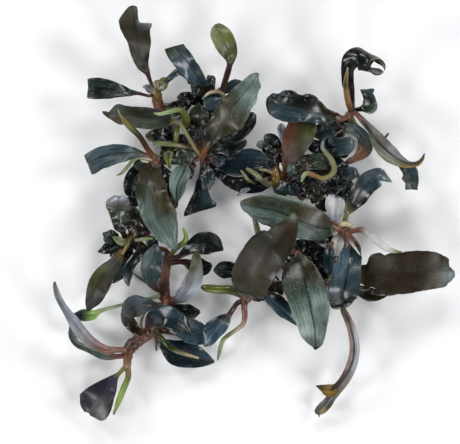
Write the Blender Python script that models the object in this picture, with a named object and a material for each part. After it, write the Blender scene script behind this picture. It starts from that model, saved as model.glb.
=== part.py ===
"""A clump of bucephalandra, a small creeping aquarium plant, as it lies on a table.

Short rhizomes lie in a rough ring and carry rosettes of lance-shaped leaves, with rolled
young leaves (spears) and roots. The origin is at the middle of the clump's footprint, +Z is
up, and +Y is called north. Lengths in the tables are millimetres, angles are degrees.

A blade's stations run from its base to its tip, each (x, y, z, left, right): a point of the
midrib, and how far the blade reaches to each side of it. A stalk's points are (x, y, z,
radius).
"""
import math

import bmesh
import bpy
from mathutils import Matrix, Vector

MM = 0.001
BLADE_HALF_THICKNESS = 0.35
STALK_HALF_WIDTH = 0.9
BLADE_HALF_WIDTH = 2.4
RING_SPACING = 3.6
RHIZOME_SIDES = 8
SPEAR_SIDES = 6
ROOT_SIDES = 4
LEAF_FOLD = 12

# colour, roughness
LOOKS = {
    "leaf_dark": ((0.016, 0.024, 0.024), 0.32),
    "leaf_olive": ((0.055, 0.050, 0.022), 0.38),
    "leaf_silver": ((0.060, 0.075, 0.065), 0.42),
    "leaf_mauve": ((0.120, 0.085, 0.095), 0.40),
    "leaf_young": ((0.260, 0.260, 0.090), 0.40),
    "stem": ((0.200, 0.090, 0.040), 0.50),
}


def clear_scene():
    for old in list(bpy.data.objects):
        bpy.data.objects.remove(old, do_unlink=True)


def look(name):
    material = bpy.data.materials.get(name)
    if material is None:
        colour, roughness = LOOKS[name]
        material = bpy.data.materials.new(name)
        material.use_nodes = True
        shader = material.node_tree.nodes["Principled BSDF"]
        shader.inputs["Base Color"].default_value = (*colour, 1)
        shader.inputs["Roughness"].default_value = roughness
        shader.inputs["Metallic"].default_value = 0
    return material


def smooth_between(points, index, part):
    """A Catmull-Rom curve through rows of numbers, read a part of the way past one of them."""
    before = points[max(index - 1, 0)]
    start = points[index]
    end = points[min(index + 1, len(points) - 1)]
    after = points[min(index + 2, len(points) - 1)]
    row = []
    for a, b, c, d in zip(before, start, end, after):
        curve = (2 * a - 5 * b + 4 * c - d) * part**2 + (3 * b - a - 3 * c + d) * part**3
        row.append(b + 0.5 * ((c - a) * part + curve))
    return row


def rings_along(points, spacing):
    """Rows spread evenly over a smooth curve, ending with the last point, so a blunt tip stays blunt."""
    steps = 8
    fine = []
    for index in range(len(points) - 1):
        for step in range(steps):
            fine.append(smooth_between(points, index, step / steps))
    fine.append(list(points[-1]))
    last = len(fine) - 1 - steps
    lengths = [0.0]
    for a, b in zip(fine, fine[1:]):
        lengths.append(lengths[-1] + (Vector(b[:3]) - Vector(a[:3])).length)
    count = max(3, round(lengths[last] / spacing))
    rows = []
    for ring in range(count + 1):
        target = lengths[last] * ring / count
        index = next(i for i, length in enumerate(lengths) if length >= target - 1e-9)
        rows.append(fine[index])
    rows.append(fine[last + steps // 2])
    rows.append(fine[-1])
    return rows


def frames_along(rows, rolls, carried):
    """For each row its middle, its side direction and its upper direction.

    The side is level, or carried on from ring to ring along a curl, and then rolled about
    the midrib, so that a positive roll lowers the right edge.
    """
    middles = [Vector(row[:3]) for row in rows]
    frames = []
    side = None
    for index, middle in enumerate(middles):
        ahead = middles[min(index + 1, len(middles) - 1)]
        behind = middles[max(index - 1, 0)]
        along = (ahead - behind).normalized()
        if side is None or not carried:
            side = Vector((along.y, -along.x, 0))
        side = (side - along * side.dot(along)).normalized()
        place = index / (len(middles) - 1) * (len(rolls) - 1)
        first = min(int(place), len(rolls) - 2)
        roll = rolls[first] + (rolls[first + 1] - rolls[first]) * (place - first)
        turned = Matrix.Rotation(math.radians(roll), 3, along) @ side
        frames.append((middle, turned, turned.cross(along)))
    return frames


def skin(name, rings):
    """A closed mesh over rings of points."""
    mesh = bpy.data.meshes.new(name)
    shape = bmesh.new()
    loops = [[shape.verts.new(point * MM) for point in ring] for ring in rings]
    for lower, upper in zip(loops, loops[1:]):
        for index in range(len(lower)):
            after = (index + 1) % len(lower)
            shape.faces.new((lower[index], lower[after], upper[after], upper[index]))
    shape.faces.new(list(reversed(loops[0])))
    shape.faces.new(loops[-1])
    bmesh.ops.triangulate(shape, faces=shape.faces)
    bmesh.ops.recalc_face_normals(shape, faces=shape.faces)
    shape.to_mesh(mesh)
    shape.free()
    mesh.shade_smooth()
    made = bpy.data.objects.new(name, mesh)
    bpy.context.collection.objects.link(made)
    return made


def blade(name, stations, rolls=(0, 0), fold=LEAF_FOLD, carried=False, sides=8):
    """A leaf with its stalk: round where it is narrow, a thin folded blade where it is wide."""
    rows = rings_along(stations, RING_SPACING)
    widest = max(range(len(rows)), key=lambda index: rows[index][3] + rows[index][4])
    tilt = math.radians(fold)
    across = (-1, -0.5, 0, 0.5, 1, 0.5, 0, -0.5) if sides == 8 else (-1, -0.4, 0.4, 1, 0.4, -0.4)
    half = len(across) // 2
    rings = []
    for index, (middle, side, up) in enumerate(frames_along(rows, rolls, carried)):
        left, right = (max(width, 0.25) for width in rows[index][3:5])
        mean = (left + right) / 2
        flat = min(max((mean - STALK_HALF_WIDTH) / (BLADE_HALF_WIDTH - STALK_HALF_WIDTH), 0), 1)
        thick = STALK_HALF_WIDTH * mean / max(mean, STALK_HALF_WIDTH)
        thick += (BLADE_HALF_THICKNESS - thick) * flat
        if index > widest:
            thick = min(BLADE_HALF_THICKNESS, 0.8 * mean)
        ring = []
        for step, share in enumerate(across):
            reach = abs(share) * (left if share < 0 else right)
            depth = thick * (1 - 0.45 * abs(share)) * (1 if step < half else -1)
            if abs(share) == 1:
                depth = 0
            sideways = math.copysign(reach * math.cos(tilt), share) if share else 0
            lift = reach * math.sin(tilt) * flat
            ring.append(middle + side * sideways + up * (lift + depth))
        rings.append(ring)
    return skin(name, rings)


def stalk(name, points, sides=SPEAR_SIDES, spacing=RING_SPACING, grounded=False):
    """A round tapering stalk. A grounded one is flat underneath where it lies on the table."""
    rows = rings_along(points, spacing)
    rings = []
    for row, (middle, side, up) in zip(rows, frames_along(rows, (0, 0), True)):
        ring = []
        for step in range(sides):
            angle = 2 * math.pi * (step + 0.5) / sides
            point = middle + (side * math.cos(angle) - up * math.sin(angle)) * row[3]
            if grounded:
                point.z = max(point.z, 0)
            ring.append(point)
        rings.append(ring)
    return skin(name, rings)


def leaf(name, look_name, stations, **shape):
    made = blade(name, stations, **shape)
    made.data.materials.append(look(look_name))


def spear(name, look_name, points):
    made = stalk(name, points)
    made.data.materials.append(look(look_name))


def rhizome(place, points, small_leaves=(), small_spears=(), roots=()):
    """A creeping stem with the small growth that is one piece with it."""
    name = f"rhizome_{place}"
    body = stalk(name, points, RHIZOME_SIDES, spacing=2.2, grounded=True)
    body.data.materials.append(look("stem"))
    grown = [blade(f"{name}_leaf_{i}", stations, sides=6) for i, stations in enumerate(small_leaves)]
    grown += [stalk(f"{name}_spear_{i}", route) for i, route in enumerate(small_spears)]
    grown += [stalk(f"{name}_root_{i}", route, ROOT_SIDES, 5, True) for i, route in enumerate(roots)]
    for part in grown:
        part.hide_render = True
        part.display_type = "WIRE"
        join = body.modifiers.new(part.name, "BOOLEAN")
        join.operation = "UNION"
        join.solver = "EXACT"
        join.object = part


def northwest():
    rhizome(
        "northwest",
        [(-24.5, 22, 1, 1.3), (-27, 28, 1.3, 1.6), (-28.5, 33, 3, 1.6), (-28.8, 36.5, 5.2, 1.5),
         (-28.8, 37.6, 6, 0.8)],
        small_leaves=[
            [(-27.8, 36.5, 5.5, 0.8, 0.8), (-24.8, 40.6, 9, 0.9, 0.9), (-22, 42.4, 10.5, 1.2, 1.2),
             (-19.8, 41, 10, 1.2, 1.2), (-19, 38.9, 8, 0.4, 0.4)],
            [(-28, 32, 3, 0.8, 0.8), (-24.6, 31.6, 5.4, 1.5, 1.5), (-21.2, 32.2, 6, 2, 2),
             (-18.8, 32.4, 5.6, 0.5, 0.5)],
            [(-26, 25.5, 2.4, 0.8, 0.8), (-28.2, 23.8, 6, 1.7, 1.7), (-30.6, 23, 6.8, 1.8, 1.8),
             (-32.2, 23, 6.5, 0.4, 0.4)],
        ],
        small_spears=[[(-28.2, 36, 5, 0.9), (-27.2, 38.2, 8, 1.1), (-26.2, 39, 9.5, 0.6)]],
        roots=[[(-26, 26, 1.4, 0.5), (-22, 28.5, 0.5, 0.4), (-18.5, 32.5, 0.4, 0.2)]],
    )
    leaf(
        "leaf_northwest_1", "leaf_olive",
        [(-30.6, 39.2, 7, 0.8, 0.8), (-31.7, 41.6, 9.5, 0.9, 0.9), (-33, 45, 12.5, 1.6, 1.5),
         (-33.7, 49.5, 15, 4.1, 3.2), (-34.8, 54.3, 16.5, 4.7, 5), (-36.6, 58, 16, 3.4, 2.4),
         (-36.3, 61.6, 15, 0.3, 0.3)],
        rolls=(0, 4, 8), fold=8,
    )
    leaf(
        "leaf_northwest_2", "leaf_dark",
        [(-31.4, 35, 5.6, 0.8, 0.8), (-34.5, 35.7, 8, 0.9, 0.9), (-38.4, 36.1, 10.3, 2.1, 2),
         (-42.9, 36.7, 11.6, 3, 2.8), (-46.5, 37, 11.4, 3.4, 3.4), (-48.3, 36.6, 10.4, 2.4, 2.6),
         (-49.4, 35.4, 8.6, 0.5, 0.5)],
        rolls=(0, -6, 4), fold=10,
    )


def north():
    rhizome(
        "north",
        [(-12.8, 22.5, 1, 1.3), (-12.4, 28, 1.3, 1.6), (-11, 33, 2.4, 1.6), (-10, 36, 4.2, 1.5),
         (-9.7, 37, 4.9, 0.8)],
        small_leaves=[
            [(-10.2, 36, 4.2, 0.8, 0.8), (-11.8, 38.6, 6.2, 1.2, 1.2), (-12.4, 40.4, 7.6, 1.4, 1.4),
             (-12.6, 41.8, 7.6, 0.5, 0.5)],
            [(-10, 36, 4.4, 0.8, 0.8), (-6.6, 37.8, 6.6, 1.7, 1.7), (-4.6, 38.8, 7, 1.5, 1.5),
             (-3.4, 39.5, 6.8, 0.4, 0.4)],
            [(-11, 33.5, 3.4, 0.8, 0.8), (-14.8, 32.5, 4, 1.4, 1.4), (-17.6, 33.6, 4.2, 1.4, 1.4),
             (-19, 35.5, 4, 0.5, 0.5)],
        ],
        roots=[[(-12.4, 26, 1.4, 0.5), (-8.5, 27.5, 0.5, 0.4), (-5, 31, 0.4, 0.2)]],
    )
    leaf(
        "leaf_north_1", "leaf_dark",
        [(-13.8, 36.4, 6.4, 0.8, 0.8), (-16, 38.8, 9.6, 1.4, 1.4), (-18, 41.6, 13, 3, 3),
         (-20.8, 45.6, 16, 3.4, 3.5), (-22.8, 48.6, 17, 3.2, 3), (-23.5, 50, 16.8, 2.4, 2.4),
         (-23.8, 50.5, 16.6, 0.8, 0.8)],
        fold=10,
    )
    leaf(
        "leaf_north_2", "leaf_young",
        [(-9, 39.2, 6.6, 1.1, 1.1), (-7.9, 42.2, 10, 1.2, 1.2), (-7, 45.5, 13.8, 1.8, 1.8),
         (-7.2, 49, 16.8, 3.2, 2.8), (-8.7, 52.5, 18.2, 3.6, 3), (-10.2, 54.9, 18.3, 2.6, 2.4),
         (-11.7, 56, 17.6, 0.7, 0.7)],
        rolls=(0, 0, -8), fold=20,
    )
    leaf(
        "leaf_north_3", "leaf_silver",
        [(-12.3, 35.1, 6.6, 0.7, 0.7), (-13, 34.2, 8, 2, 2), (-12.8, 32.6, 8.8, 3.2, 3),
         (-12, 30.6, 8.4, 2.4, 2.4), (-11.4, 29.4, 7.8, 0.7, 0.7)],
        fold=6,
    )


def inner():
    rhizome(
        "inner",
        [(-18.2, 25.6, 1, 1.2), (-17.2, 22, 1.1, 1.4), (-16, 19, 2.8, 1.5), (-15, 16.6, 5, 1.5),
         (-14.6, 15.7, 5.8, 0.8)],
        small_leaves=[
            [(-16.2, 19.5, 2.6, 0.8, 0.8), (-12.4, 19, 4, 1.1, 1.1), (-8.6, 19.8, 5.6, 2, 1.8),
             (-5.6, 20.6, 6.4, 1.9, 1.7), (-4.2, 20.9, 6, 0.5, 0.5)],
            [(-17.8, 25, 2, 0.8, 0.8), (-17.2, 27.6, 5.6, 2, 2), (-16.6, 29.8, 7.4, 2.6, 2.6),
             (-16.2, 31.6, 8, 0.6, 0.6)],
        ],
        small_spears=[
            [(-16, 18.4, 3.2, 0.8), (-19.6, 18, 5, 0.8), (-23.6, 20, 8.4, 0.9),
             (-28.8, 20.6, 9.4, 0.5)],
        ],
        roots=[
            [(-17, 21.5, 1.4, 0.5), (-21, 20, 0.5, 0.4), (-24.6, 16.5, 0.4, 0.2)],
            [(-16.4, 20, 1.4, 0.5), (-12, 17.6, 0.5, 0.4), (-9, 13.2, 0.4, 0.2)],
        ],
    )
    leaf(
        "leaf_inner_1", "leaf_olive",
        [(-13.9, 19, 7.6, 0.9, 0.9), (-12, 22.4, 11, 2, 2), (-8.7, 27.3, 14.8, 4.2, 4),
         (-4.8, 31.8, 17, 4.8, 4.5), (-1.2, 36.9, 17.6, 3.3, 3.8), (0.9, 40.2, 17, 1.8, 2.2),
         (1.8, 42, 16.4, 0.3, 0.3)],
        rolls=(0, 6, 0), fold=14,
    )
    leaf(
        "leaf_inner_2", "leaf_dark",
        [(-12.3, 15.4, 5.6, 0.8, 0.8), (-9.9, 14.2, 6.6, 2.4, 2.6), (-5.4, 13.2, 7.2, 4.4, 4.8),
         (-0.6, 13.8, 7, 4.3, 4.3), (3, 14.6, 6.6, 2.2, 2.2), (5, 15.2, 6.4, 0.4, 0.4)],
        fold=6,
    )
    leaf(
        "leaf_inner_3", "leaf_olive",
        [(-17.2, 19.4, 7, 0.8, 0.8), (-19.2, 22.6, 9.8, 0.9, 0.9), (-22, 26.6, 12.5, 1.1, 1.1),
         (-25.5, 28.2, 13.2, 2.3, 2.2), (-30.9, 28.6, 13.2, 3.6, 2.9), (-36, 29.2, 12.6, 3.8, 2.8),
         (-40.5, 30, 12, 2.7, 2.1), (-43.4, 29.9, 11, 1.2, 1), (-44.8, 29.6, 10.2, 0.3, 0.3)],
        fold=12,
    )
    leaf(
        "leaf_inner_4", "leaf_silver",
        [(-17.7, 15.4, 6, 0.8, 0.8), (-20.7, 12.3, 7.6, 2.4, 2.4), (-21.9, 9, 8.8, 3.4, 3.4),
         (-23.2, 5.4, 8.8, 2.7, 2.7), (-24.2, 3, 8, 0.4, 0.4)],
        fold=10,
    )
    leaf(
        "leaf_inner_5", "leaf_dark",
        [(-15.3, 13.4, 4.2, 0.8, 0.8), (-15.4, 10, 5.2, 1.4, 1.4), (-15.7, 6.4, 6.2, 2.8, 2.6),
         (-16.1, 3, 6.3, 4.4, 4), (-16.5, 0.8, 6, 4.4, 4.6), (-16.9, -0.6, 5.7, 1.6, 1.8)],
        fold=8,
    )
    leaf(
        "leaf_inner_6", "leaf_dark",
        [(-12.6, 22, 5.6, 0.8, 0.8), (-9.6, 23, 7.8, 1.4, 1.4), (-5.4, 24.8, 9.4, 2.6, 2.6),
         (-1.8, 27.4, 9.6, 2.6, 2.6), (0.6, 30, 9, 0.5, 0.5)],
        fold=8,
    )
    spear(
        "spear_inner", "leaf_young",
        [(-20.4, 25.2, 3.2, 0.8), (-20.6, 28.8, 9, 1.1), (-22.4, 31.2, 15.2, 1.1), (-26, 31, 16.9, 0.9),
         (-29.7, 30.4, 16.9, 0.4)],
    )


def west():
    rhizome(
        "west",
        [(-32, 2, 1, 1.3), (-31.4, 7, 1.2, 1.5), (-30.4, 12, 2.6, 1.6), (-29.5, 15.3, 4.6, 1.6),
         (-29.2, 16.3, 5.4, 0.9)],
        small_leaves=[
            [(-30.4, 12.5, 3, 0.8, 0.8), (-33.2, 12.6, 5.4, 1.6, 1.6), (-35, 9.4, 6.2, 2.3, 2.3),
             (-35.6, 6, 6, 1.5, 1.5), (-35.6, 4.4, 5.6, 0.4, 0.4)],
            [(-29.6, 15, 4.6, 0.8, 0.8), (-26, 16.2, 5.8, 1.8, 1.8), (-22.8, 16.6, 5.6, 2.2, 2),
             (-20.6, 16.8, 4.8, 0.5, 0.5)],
        ],
        small_spears=[
            [(-30, 15.6, 5, 0.7), (-32.6, 16.2, 7.4, 0.6), (-36.6, 15.4, 8, 0.6), (-40.8, 11.4, 6, 0.3)],
        ],
        roots=[
            [(-31.4, 7, 1.2, 0.5), (-26.6, 8.4, 0.5, 0.4), (-22, 6, 0.4, 0.2)],
        ],
    )
    leaf(
        "leaf_west_1", "leaf_silver",
        [(-29.8, 13, 8, 0.9, 0.9), (-30, 10.4, 11, 3, 3.2), (-30.3, 6.3, 13.6, 4.7, 5),
         (-29.4, 1.2, 15.4, 5.6, 5), (-27, -4.5, 15.4, 5, 4.8), (-24.9, -8.4, 14.2, 2.8, 3),
         (-23.7, -11.1, 12.8, 0.4, 0.4)],
        rolls=(0, -4, 0), fold=12,
    )
    leaf(
        "leaf_west_2", "leaf_silver",
        [(-31.5, 18, 6.8, 0.8, 0.8), (-35.4, 18.9, 9.6, 1.3, 1.3), (-39.6, 18.3, 11.2, 2.5, 2.4),
         (-43.8, 17.4, 12, 3, 2.8), (-47.4, 15.5, 11.2, 2.8, 2.8), (-49.3, 13, 9.6, 1.5, 1.6),
         (-49.8, 10.8, 8, 0.3, 0.3)],
        fold=10,
    )
    spear(
        "spear_west", "leaf_young",
        [(-29.7, 18.7, 6.4, 0.9), (-31.6, 20.4, 12, 1.1), (-34.4, 23, 15.2, 1.1), (-37, 26, 17, 1),
         (-39.3, 28.9, 17.8, 0.4)],
    )


def farwest():
    rhizome(
        "farwest",
        [(-29, -3.4, 1, 1.3), (-32.5, -5.6, 1.2, 1.5), (-36, -7.4, 2.6, 1.6), (-38.6, -8.2, 4.6, 1.6),
         (-39.6, -8.5, 5.2, 0.9)],
        small_leaves=[
            [(-38.4, -8.4, 4.6, 0.8, 0.8), (-41.8, -9.4, 5.6, 1.5, 1.5), (-44, -10.4, 5.6, 1.6, 1.6),
             (-46.2, -11.2, 5, 0.3, 0.3)],
            [(-37, -7.4, 3.6, 0.8, 0.8), (-35.4, -4.6, 5.8, 1.8, 1.8), (-35, -1.6, 7.2, 2.1, 2.1),
             (-36, 0.8, 7, 0.5, 0.5)],
            [(-36, -7.6, 3, 0.8, 0.8), (-34.6, -9.8, 5, 1.6, 1.6), (-33, -10.4, 5.6, 1.6, 1.6),
             (-31.4, -10.2, 5.4, 0.3, 0.3)],
        ],
        small_spears=[[(-35, -7, 2.6, 0.8), (-33, -7.4, 6, 0.8), (-30.2, -7.4, 8, 0.3)]],
        roots=[
            [(-33, -6, 1.2, 0.5), (-32.6, -1.6, 0.5, 0.4), (-35.6, 1.2, 0.4, 0.2)],
            [(-34, -6.4, 1.2, 0.5), (-37, -11.4, 0.5, 0.4), (-40.4, -15, 0.4, 0.2)],
        ],
    )
    leaf(
        "leaf_farwest_1", "leaf_olive",
        [(-39.4, -11.2, 6.4, 0.8, 0.8), (-40.6, -14.2, 9.2, 1.9, 1.9), (-44, -18, 11.5, 3, 2.9),
         (-46.8, -21.9, 12, 4, 2.9), (-48.6, -26.4, 10.6, 2.8, 1.7), (-49.2, -29.2, 9.2, 0.3, 0.3)],
        rolls=(0, 8, 0), fold=12,
    )
    leaf(
        "leaf_farwest_2", "leaf_dark",
        [(-37.2, -11.2, 4.4, 0.8, 0.8), (-38.6, -14.6, 5.6, 1.8, 1.8), (-40.4, -18, 6, 2.4, 2.2),
         (-41.9, -20.9, 5.6, 0.4, 0.4)],
        fold=8,
    )
    leaf(
        "leaf_farwest_3", "leaf_dark",
        [(-38.8, -5.2, 6.6, 0.8, 0.8), (-39.4, -2.4, 9, 2.2, 2.2), (-40, 0.6, 10.8, 3.4, 3.2),
         (-40.2, 3.2, 10.8, 3, 3), (-40.4, 5, 10, 1, 1)],
        fold=10,
    )


def central():
    rhizome(
        "central",
        [(-25.6, -13, 1, 1.3), (-26.4, -18, 1.2, 1.5), (-26.6, -23, 1.6, 1.6), (-25.8, -27.6, 3.2, 1.6),
         (-25.4, -28.8, 3.8, 0.9)],
        small_leaves=[
            [(-26, -27.4, 3, 0.8, 0.8), (-22, -29.2, 4.8, 2, 2), (-18.8, -29.8, 5.2, 2.4, 2.4),
             (-15.8, -29.6, 4.8, 0.5, 0.5)],
            [(-26, -15.4, 1.8, 0.8, 0.8), (-21.2, -14.6, 3.6, 0.9, 0.9), (-17.8, -16, 4.6, 2, 2),
             (-14.6, -16.2, 5.2, 2.6, 2.6), (-12.4, -15.4, 5, 0.5, 0.5)],
        ],
        small_spears=[
            [(-25.8, -14, 1.6, 0.8), (-23.4, -11, 5, 0.8), (-20.2, -8, 8.4, 0.8), (-20.8, -4.4, 9.6, 0.3)],
        ],
        roots=[
            [(-26, -16, 1.4, 0.5), (-29.6, -12.6, 0.5, 0.4), (-29, -8, 0.4, 0.2)],
            [(-26.6, -22, 1.4, 0.5), (-31.6, -21, 0.5, 0.4), (-36, -18, 0.4, 0.2)],
            [(-26.4, -26, 1.4, 0.5), (-21.6, -24.6, 0.5, 0.4), (-18.4, -20.6, 0.4, 0.2)],
        ],
    )
    leaf(
        "leaf_central_1", "leaf_dark",
        [(-26.2, -11.2, 4, 0.8, 0.8), (-29.8, -10.8, 6.6, 1, 1), (-33.6, -12.2, 9, 1.6, 1.6),
         (-36.6, -15.4, 9.8, 1.6, 1.6), (-37.6, -19, 9.6, 1.4, 1.4), (-37.4, -21.8, 8.6, 0.4, 0.4)],
        fold=10,
    )
    leaf(
        "leaf_central_2", "leaf_silver",
        [(-29, -22.8, 4.6, 0.8, 0.8), (-30.4, -19.6, 9, 2.4, 2.4), (-30.4, -16, 12, 3.4, 3.4),
         (-29.6, -12.4, 12.6, 2.8, 2.8), (-29, -9.6, 12, 0.5, 0.5)],
        fold=10,
    )
    leaf(
        "leaf_central_3", "leaf_mauve",
        [(-23.4, -26.6, 6, 0.8, 0.8), (-21, -24.6, 8.4, 2.4, 2.4), (-18.6, -21.4, 10.6, 3, 3),
         (-17.2, -17, 11.6, 2.4, 2.4), (-17, -13.4, 11.2, 1.4, 1.4), (-17.3, -11.4, 10.6, 0.4, 0.4)],
        rolls=(0, 20, 20), fold=10,
    )
    leaf(
        "leaf_central_4", "leaf_dark",
        [(-22.2, -13, 5, 0.8, 0.8), (-19.4, -11, 6.6, 1.7, 1.7), (-15.6, -9.2, 8.2, 3.4, 3.3),
         (-12, -9.4, 8.8, 3.2, 3.1), (-9, -11, 8.4, 0.4, 0.4)],
        fold=8,
    )
    leaf(
        "leaf_central_5", "leaf_olive",
        [(-28.9, -27.6, 4.8, 0.8, 0.8), (-32, -27.4, 7.6, 2.2, 2.2), (-35.4, -28, 9.2, 3.4, 3.4),
         (-37.8, -29.8, 9, 2.2, 2.2), (-39, -31.4, 8.2, 0.3, 0.3)],
        fold=10,
    )
    leaf(
        "leaf_central_6", "leaf_dark",
        [(-29.2, -25.2, 3, 0.8, 0.8), (-33.6, -26.2, 5, 0.7, 0.7), (-38.7, -27.4, 6, 0.7, 0.7),
         (-45.4, -29.2, 6.4, 0.7, 0.7), (-48, -30.6, 6.6, 1.4, 1.6), (-51.2, -30.6, 6.6, 1.8, 1.8),
         (-53.8, -30.4, 6.2, 0.4, 0.4)],
        fold=8,
    )


def southwest():
    rhizome(
        "southwest",
        [(-25.4, -33, 1.1, 1.4), (-29, -34.8, 1.5, 1.8), (-33, -37.2, 2.4, 1.9), (-36.8, -40.2, 4, 1.9),
         (-37.6, -43.6, 4.6, 1.2), (-37.8, -46, 4.8, 1.1), (-37.9, -46.8, 4.9, 0.8)],
        small_leaves=[
            [(-33.4, -37.2, 3.4, 0.8, 0.8), (-36.2, -33.8, 4.6, 1.8, 1.8), (-38, -31.6, 4.8, 1.8, 1.8),
             (-39.4, -29.9, 4.4, 0.3, 0.3)],
        ],
        small_spears=[
            [(-29.4, -35, 2.6, 0.8), (-27.4, -37.6, 7, 0.8), (-23.6, -41, 8.2, 0.8),
             (-16.3, -43.5, 7.2, 0.3)],
        ],
        roots=[
            [(-32.6, -37, 1.8, 0.5), (-33.6, -33, 0.6, 0.4), (-32, -29.2, 0.4, 0.2)],
            [(-29.6, -35.4, 1.4, 0.5), (-29.2, -38, 0.6, 0.4), (-29, -41.4, 0.4, 0.2)],
        ],
    )
    leaf(
        "leaf_southwest_1", "leaf_dark",
        [(-31.6, -33.8, 5, 0.8, 0.8), (-29.8, -32, 9, 2.6, 2.6), (-26.8, -31, 12.4, 3.6, 3.2),
         (-23, -32.2, 13.4, 3.2, 3.2), (-20.3, -34.6, 12.2, 1.8, 1.8), (-19, -36.4, 10.8, 0.4, 0.4)],
        fold=10,
    )
    leaf(
        "leaf_southwest_2", "leaf_mauve",
        [(-40.4, -41, 6.2, 0.9, 0.9), (-44.6, -40.8, 9, 1.3, 1.3), (-49.4, -38, 12, 2.1, 2.1),
         (-54, -32.4, 14, 1.8, 1.8), (-57.7, -26.4, 14, 1.2, 1.2), (-59.1, -22.8, 12.6, 0.7, 0.7),
         (-59.4, -20.8, 11.8, 0.3, 0.3)],
        rolls=(0, 25, 15), fold=14,
    )
    leaf(
        "leaf_southwest_3", "leaf_silver",
        [(-40.6, -43, 4.2, 0.8, 0.8), (-44.4, -42.6, 5.2, 1.6, 1.2), (-48.9, -40.8, 6, 1.3, 1.2),
         (-52.6, -39.2, 6.6, 1.1, 1.1), (-54.3, -36.6, 7.4, 1.1, 1.1), (-54.6, -33.6, 8, 0.5, 0.5)],
        fold=14,
    )
    leaf(
        "leaf_southwest_4", "leaf_mauve",
        [(-39.9, -47.8, 5.4, 0.8, 0.8), (-41.4, -49.4, 6.4, 1.2, 1.2), (-43.7, -52.5, 7.2, 3.2, 3.5),
         (-45.7, -55.3, 6.8, 4.6, 5.2), (-47.5, -57.6, 5.6, 5.4, 5.4), (-48.8, -59, 4.6, 3.6, 3.6),
         (-49.4, -59.8, 4.2, 1, 1)],
        fold=12,
    )
    leaf(
        "leaf_southwest_5", "leaf_dark",
        [(-25.2, -35.6, 3.8, 0.9, 0.9), (-22.6, -34.9, 5.6, 2.4, 2.4), (-19.5, -35, 6.4, 3.6, 3.8),
         (-16, -36.4, 6.2, 3.4, 3.4), (-13.2, -37.3, 5.4, 1.8, 1.8), (-11.8, -37.6, 5, 0.4, 0.4)],
        fold=8,
    )
    leaf(
        "leaf_southwest_6", "leaf_dark",
        [(-28.2, -38.2, 3.2, 0.8, 0.8), (-26, -39.8, 4, 2.2, 2.4), (-22.6, -41.9, 4.4, 4.2, 4),
         (-18, -43.2, 4.2, 4, 3.4), (-14, -44.2, 3.6, 2.2, 1.8), (-11.8, -44.6, 3.1, 0.4, 0.4)],
        fold=6,
    )
    spear(
        "spear_southwest", "leaf_young",
        [(-37.4, -49, 5.6, 0.9), (-38.6, -52.2, 8, 1), (-40.1, -56, 8.8, 0.9), (-41.8, -60.2, 8.4, 0.4)],
    )


def south():
    rhizome(
        "south",
        [(9.4, -10.6, 1, 1.3), (6, -15.4, 1.2, 1.5), (2, -20, 1.4, 1.6), (-1.2, -24.4, 2.8, 1.6),
         (-2.6, -26.8, 4.2, 1.6), (-3, -27.7, 5, 0.9)],
        small_leaves=[
            [(2.6, -19.6, 2.2, 0.8, 0.8), (-2, -18.4, 3.8, 1, 1), (-6.4, -17.2, 5, 2.4, 2.4),
             (-9.4, -17, 5.2, 2.6, 2.6), (-11.8, -17.2, 4.8, 0.5, 0.5)],
        ],
        small_spears=[
            [(8.6, -12, 1.8, 0.8), (4.8, -10.2, 5, 0.9), (2.2, -7.2, 7, 0.9), (0.5, -1.4, 8, 0.8),
             (-0.4, 1.6, 8.2, 0.4)],
            [(-2, -25.2, 3.4, 1.1), (-6.4, -23.6, 4.6, 1.2), (-11, -22.6, 4.8, 1),
             (-14.6, -22, 4.6, 0.5)],
            [(-3, -27.4, 5, 0.9), (-2.6, -31.4, 6.2, 0.9), (-5.2, -35.4, 6, 0.8), (-8.4, -38.6, 4.6, 0.7),
             (-10.1, -43.8, 2.6, 0.3)],
        ],
        roots=[
            [(5, -16.6, 1.4, 0.5), (1.4, -13.4, 0.5, 0.4), (-1.4, -9, 0.4, 0.2)],
            [(1, -21.4, 1.4, 0.5), (-4.4, -19.6, 0.5, 0.4), (-8.6, -16.8, 0.4, 0.2)],
            [(2, -20.4, 1.4, 0.5), (7, -22.6, 0.5, 0.4), (9, -27.6, 0.4, 0.2)],
        ],
    )
    leaf(
        "leaf_south_1", "leaf_olive",
        [(-1.6, -25.6, 7.6, 0.9, 0.9), (-1.4, -22.4, 10.6, 3.8, 3.8), (0.6, -17.7, 14.2, 5.7, 5.7),
         (3.3, -12.9, 17, 6, 6.1), (7.2, -7.8, 18.6, 4.3, 5.3), (10.2, -3.9, 19.2, 2.2, 3.2),
         (12, -0.3, 19.2, 0.3, 0.3)],
        rolls=(0, 4, 4), fold=14,
    )
    leaf(
        "leaf_south_2", "leaf_dark",
        [(2, -25.8, 4.2, 0.8, 0.8), (5.2, -26.4, 5.4, 2.1, 2.1), (8.8, -28.6, 6.2, 2.8, 2.8),
         (11.6, -31.4, 6, 2.2, 2.2), (13.2, -33.9, 5.4, 0.4, 0.4)],
        fold=8,
    )
    leaf(
        "leaf_south_3", "leaf_dark",
        [(-5.4, -28.6, 5.2, 0.8, 0.8), (-7.2, -30.9, 7.6, 1.5, 1.5), (-9.6, -33.4, 9, 3.2, 3.2),
         (-12, -36, 9, 3.4, 3.2), (-13.8, -38.4, 8.2, 1.6, 1.6), (-14.6, -39.6, 7.6, 0.4, 0.4)],
        fold=10,
    )
    leaf(
        "leaf_south_4", "leaf_silver",
        [(10.4, -13.2, 4.4, 0.9, 0.9), (11.8, -15.8, 7.6, 2.4, 2.4), (13.4, -19, 10, 5, 4.3),
         (15.1, -24, 11.4, 6.4, 5.3), (16.9, -30, 11.2, 6.1, 5.1), (18.1, -35.4, 9.8, 4.3, 4),
         (18.9, -39.2, 8.2, 2.2, 2.6), (19, -41.1, 7.2, 0.5, 0.5)],
        rolls=(0, 0, 4), fold=12,
    )


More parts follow.
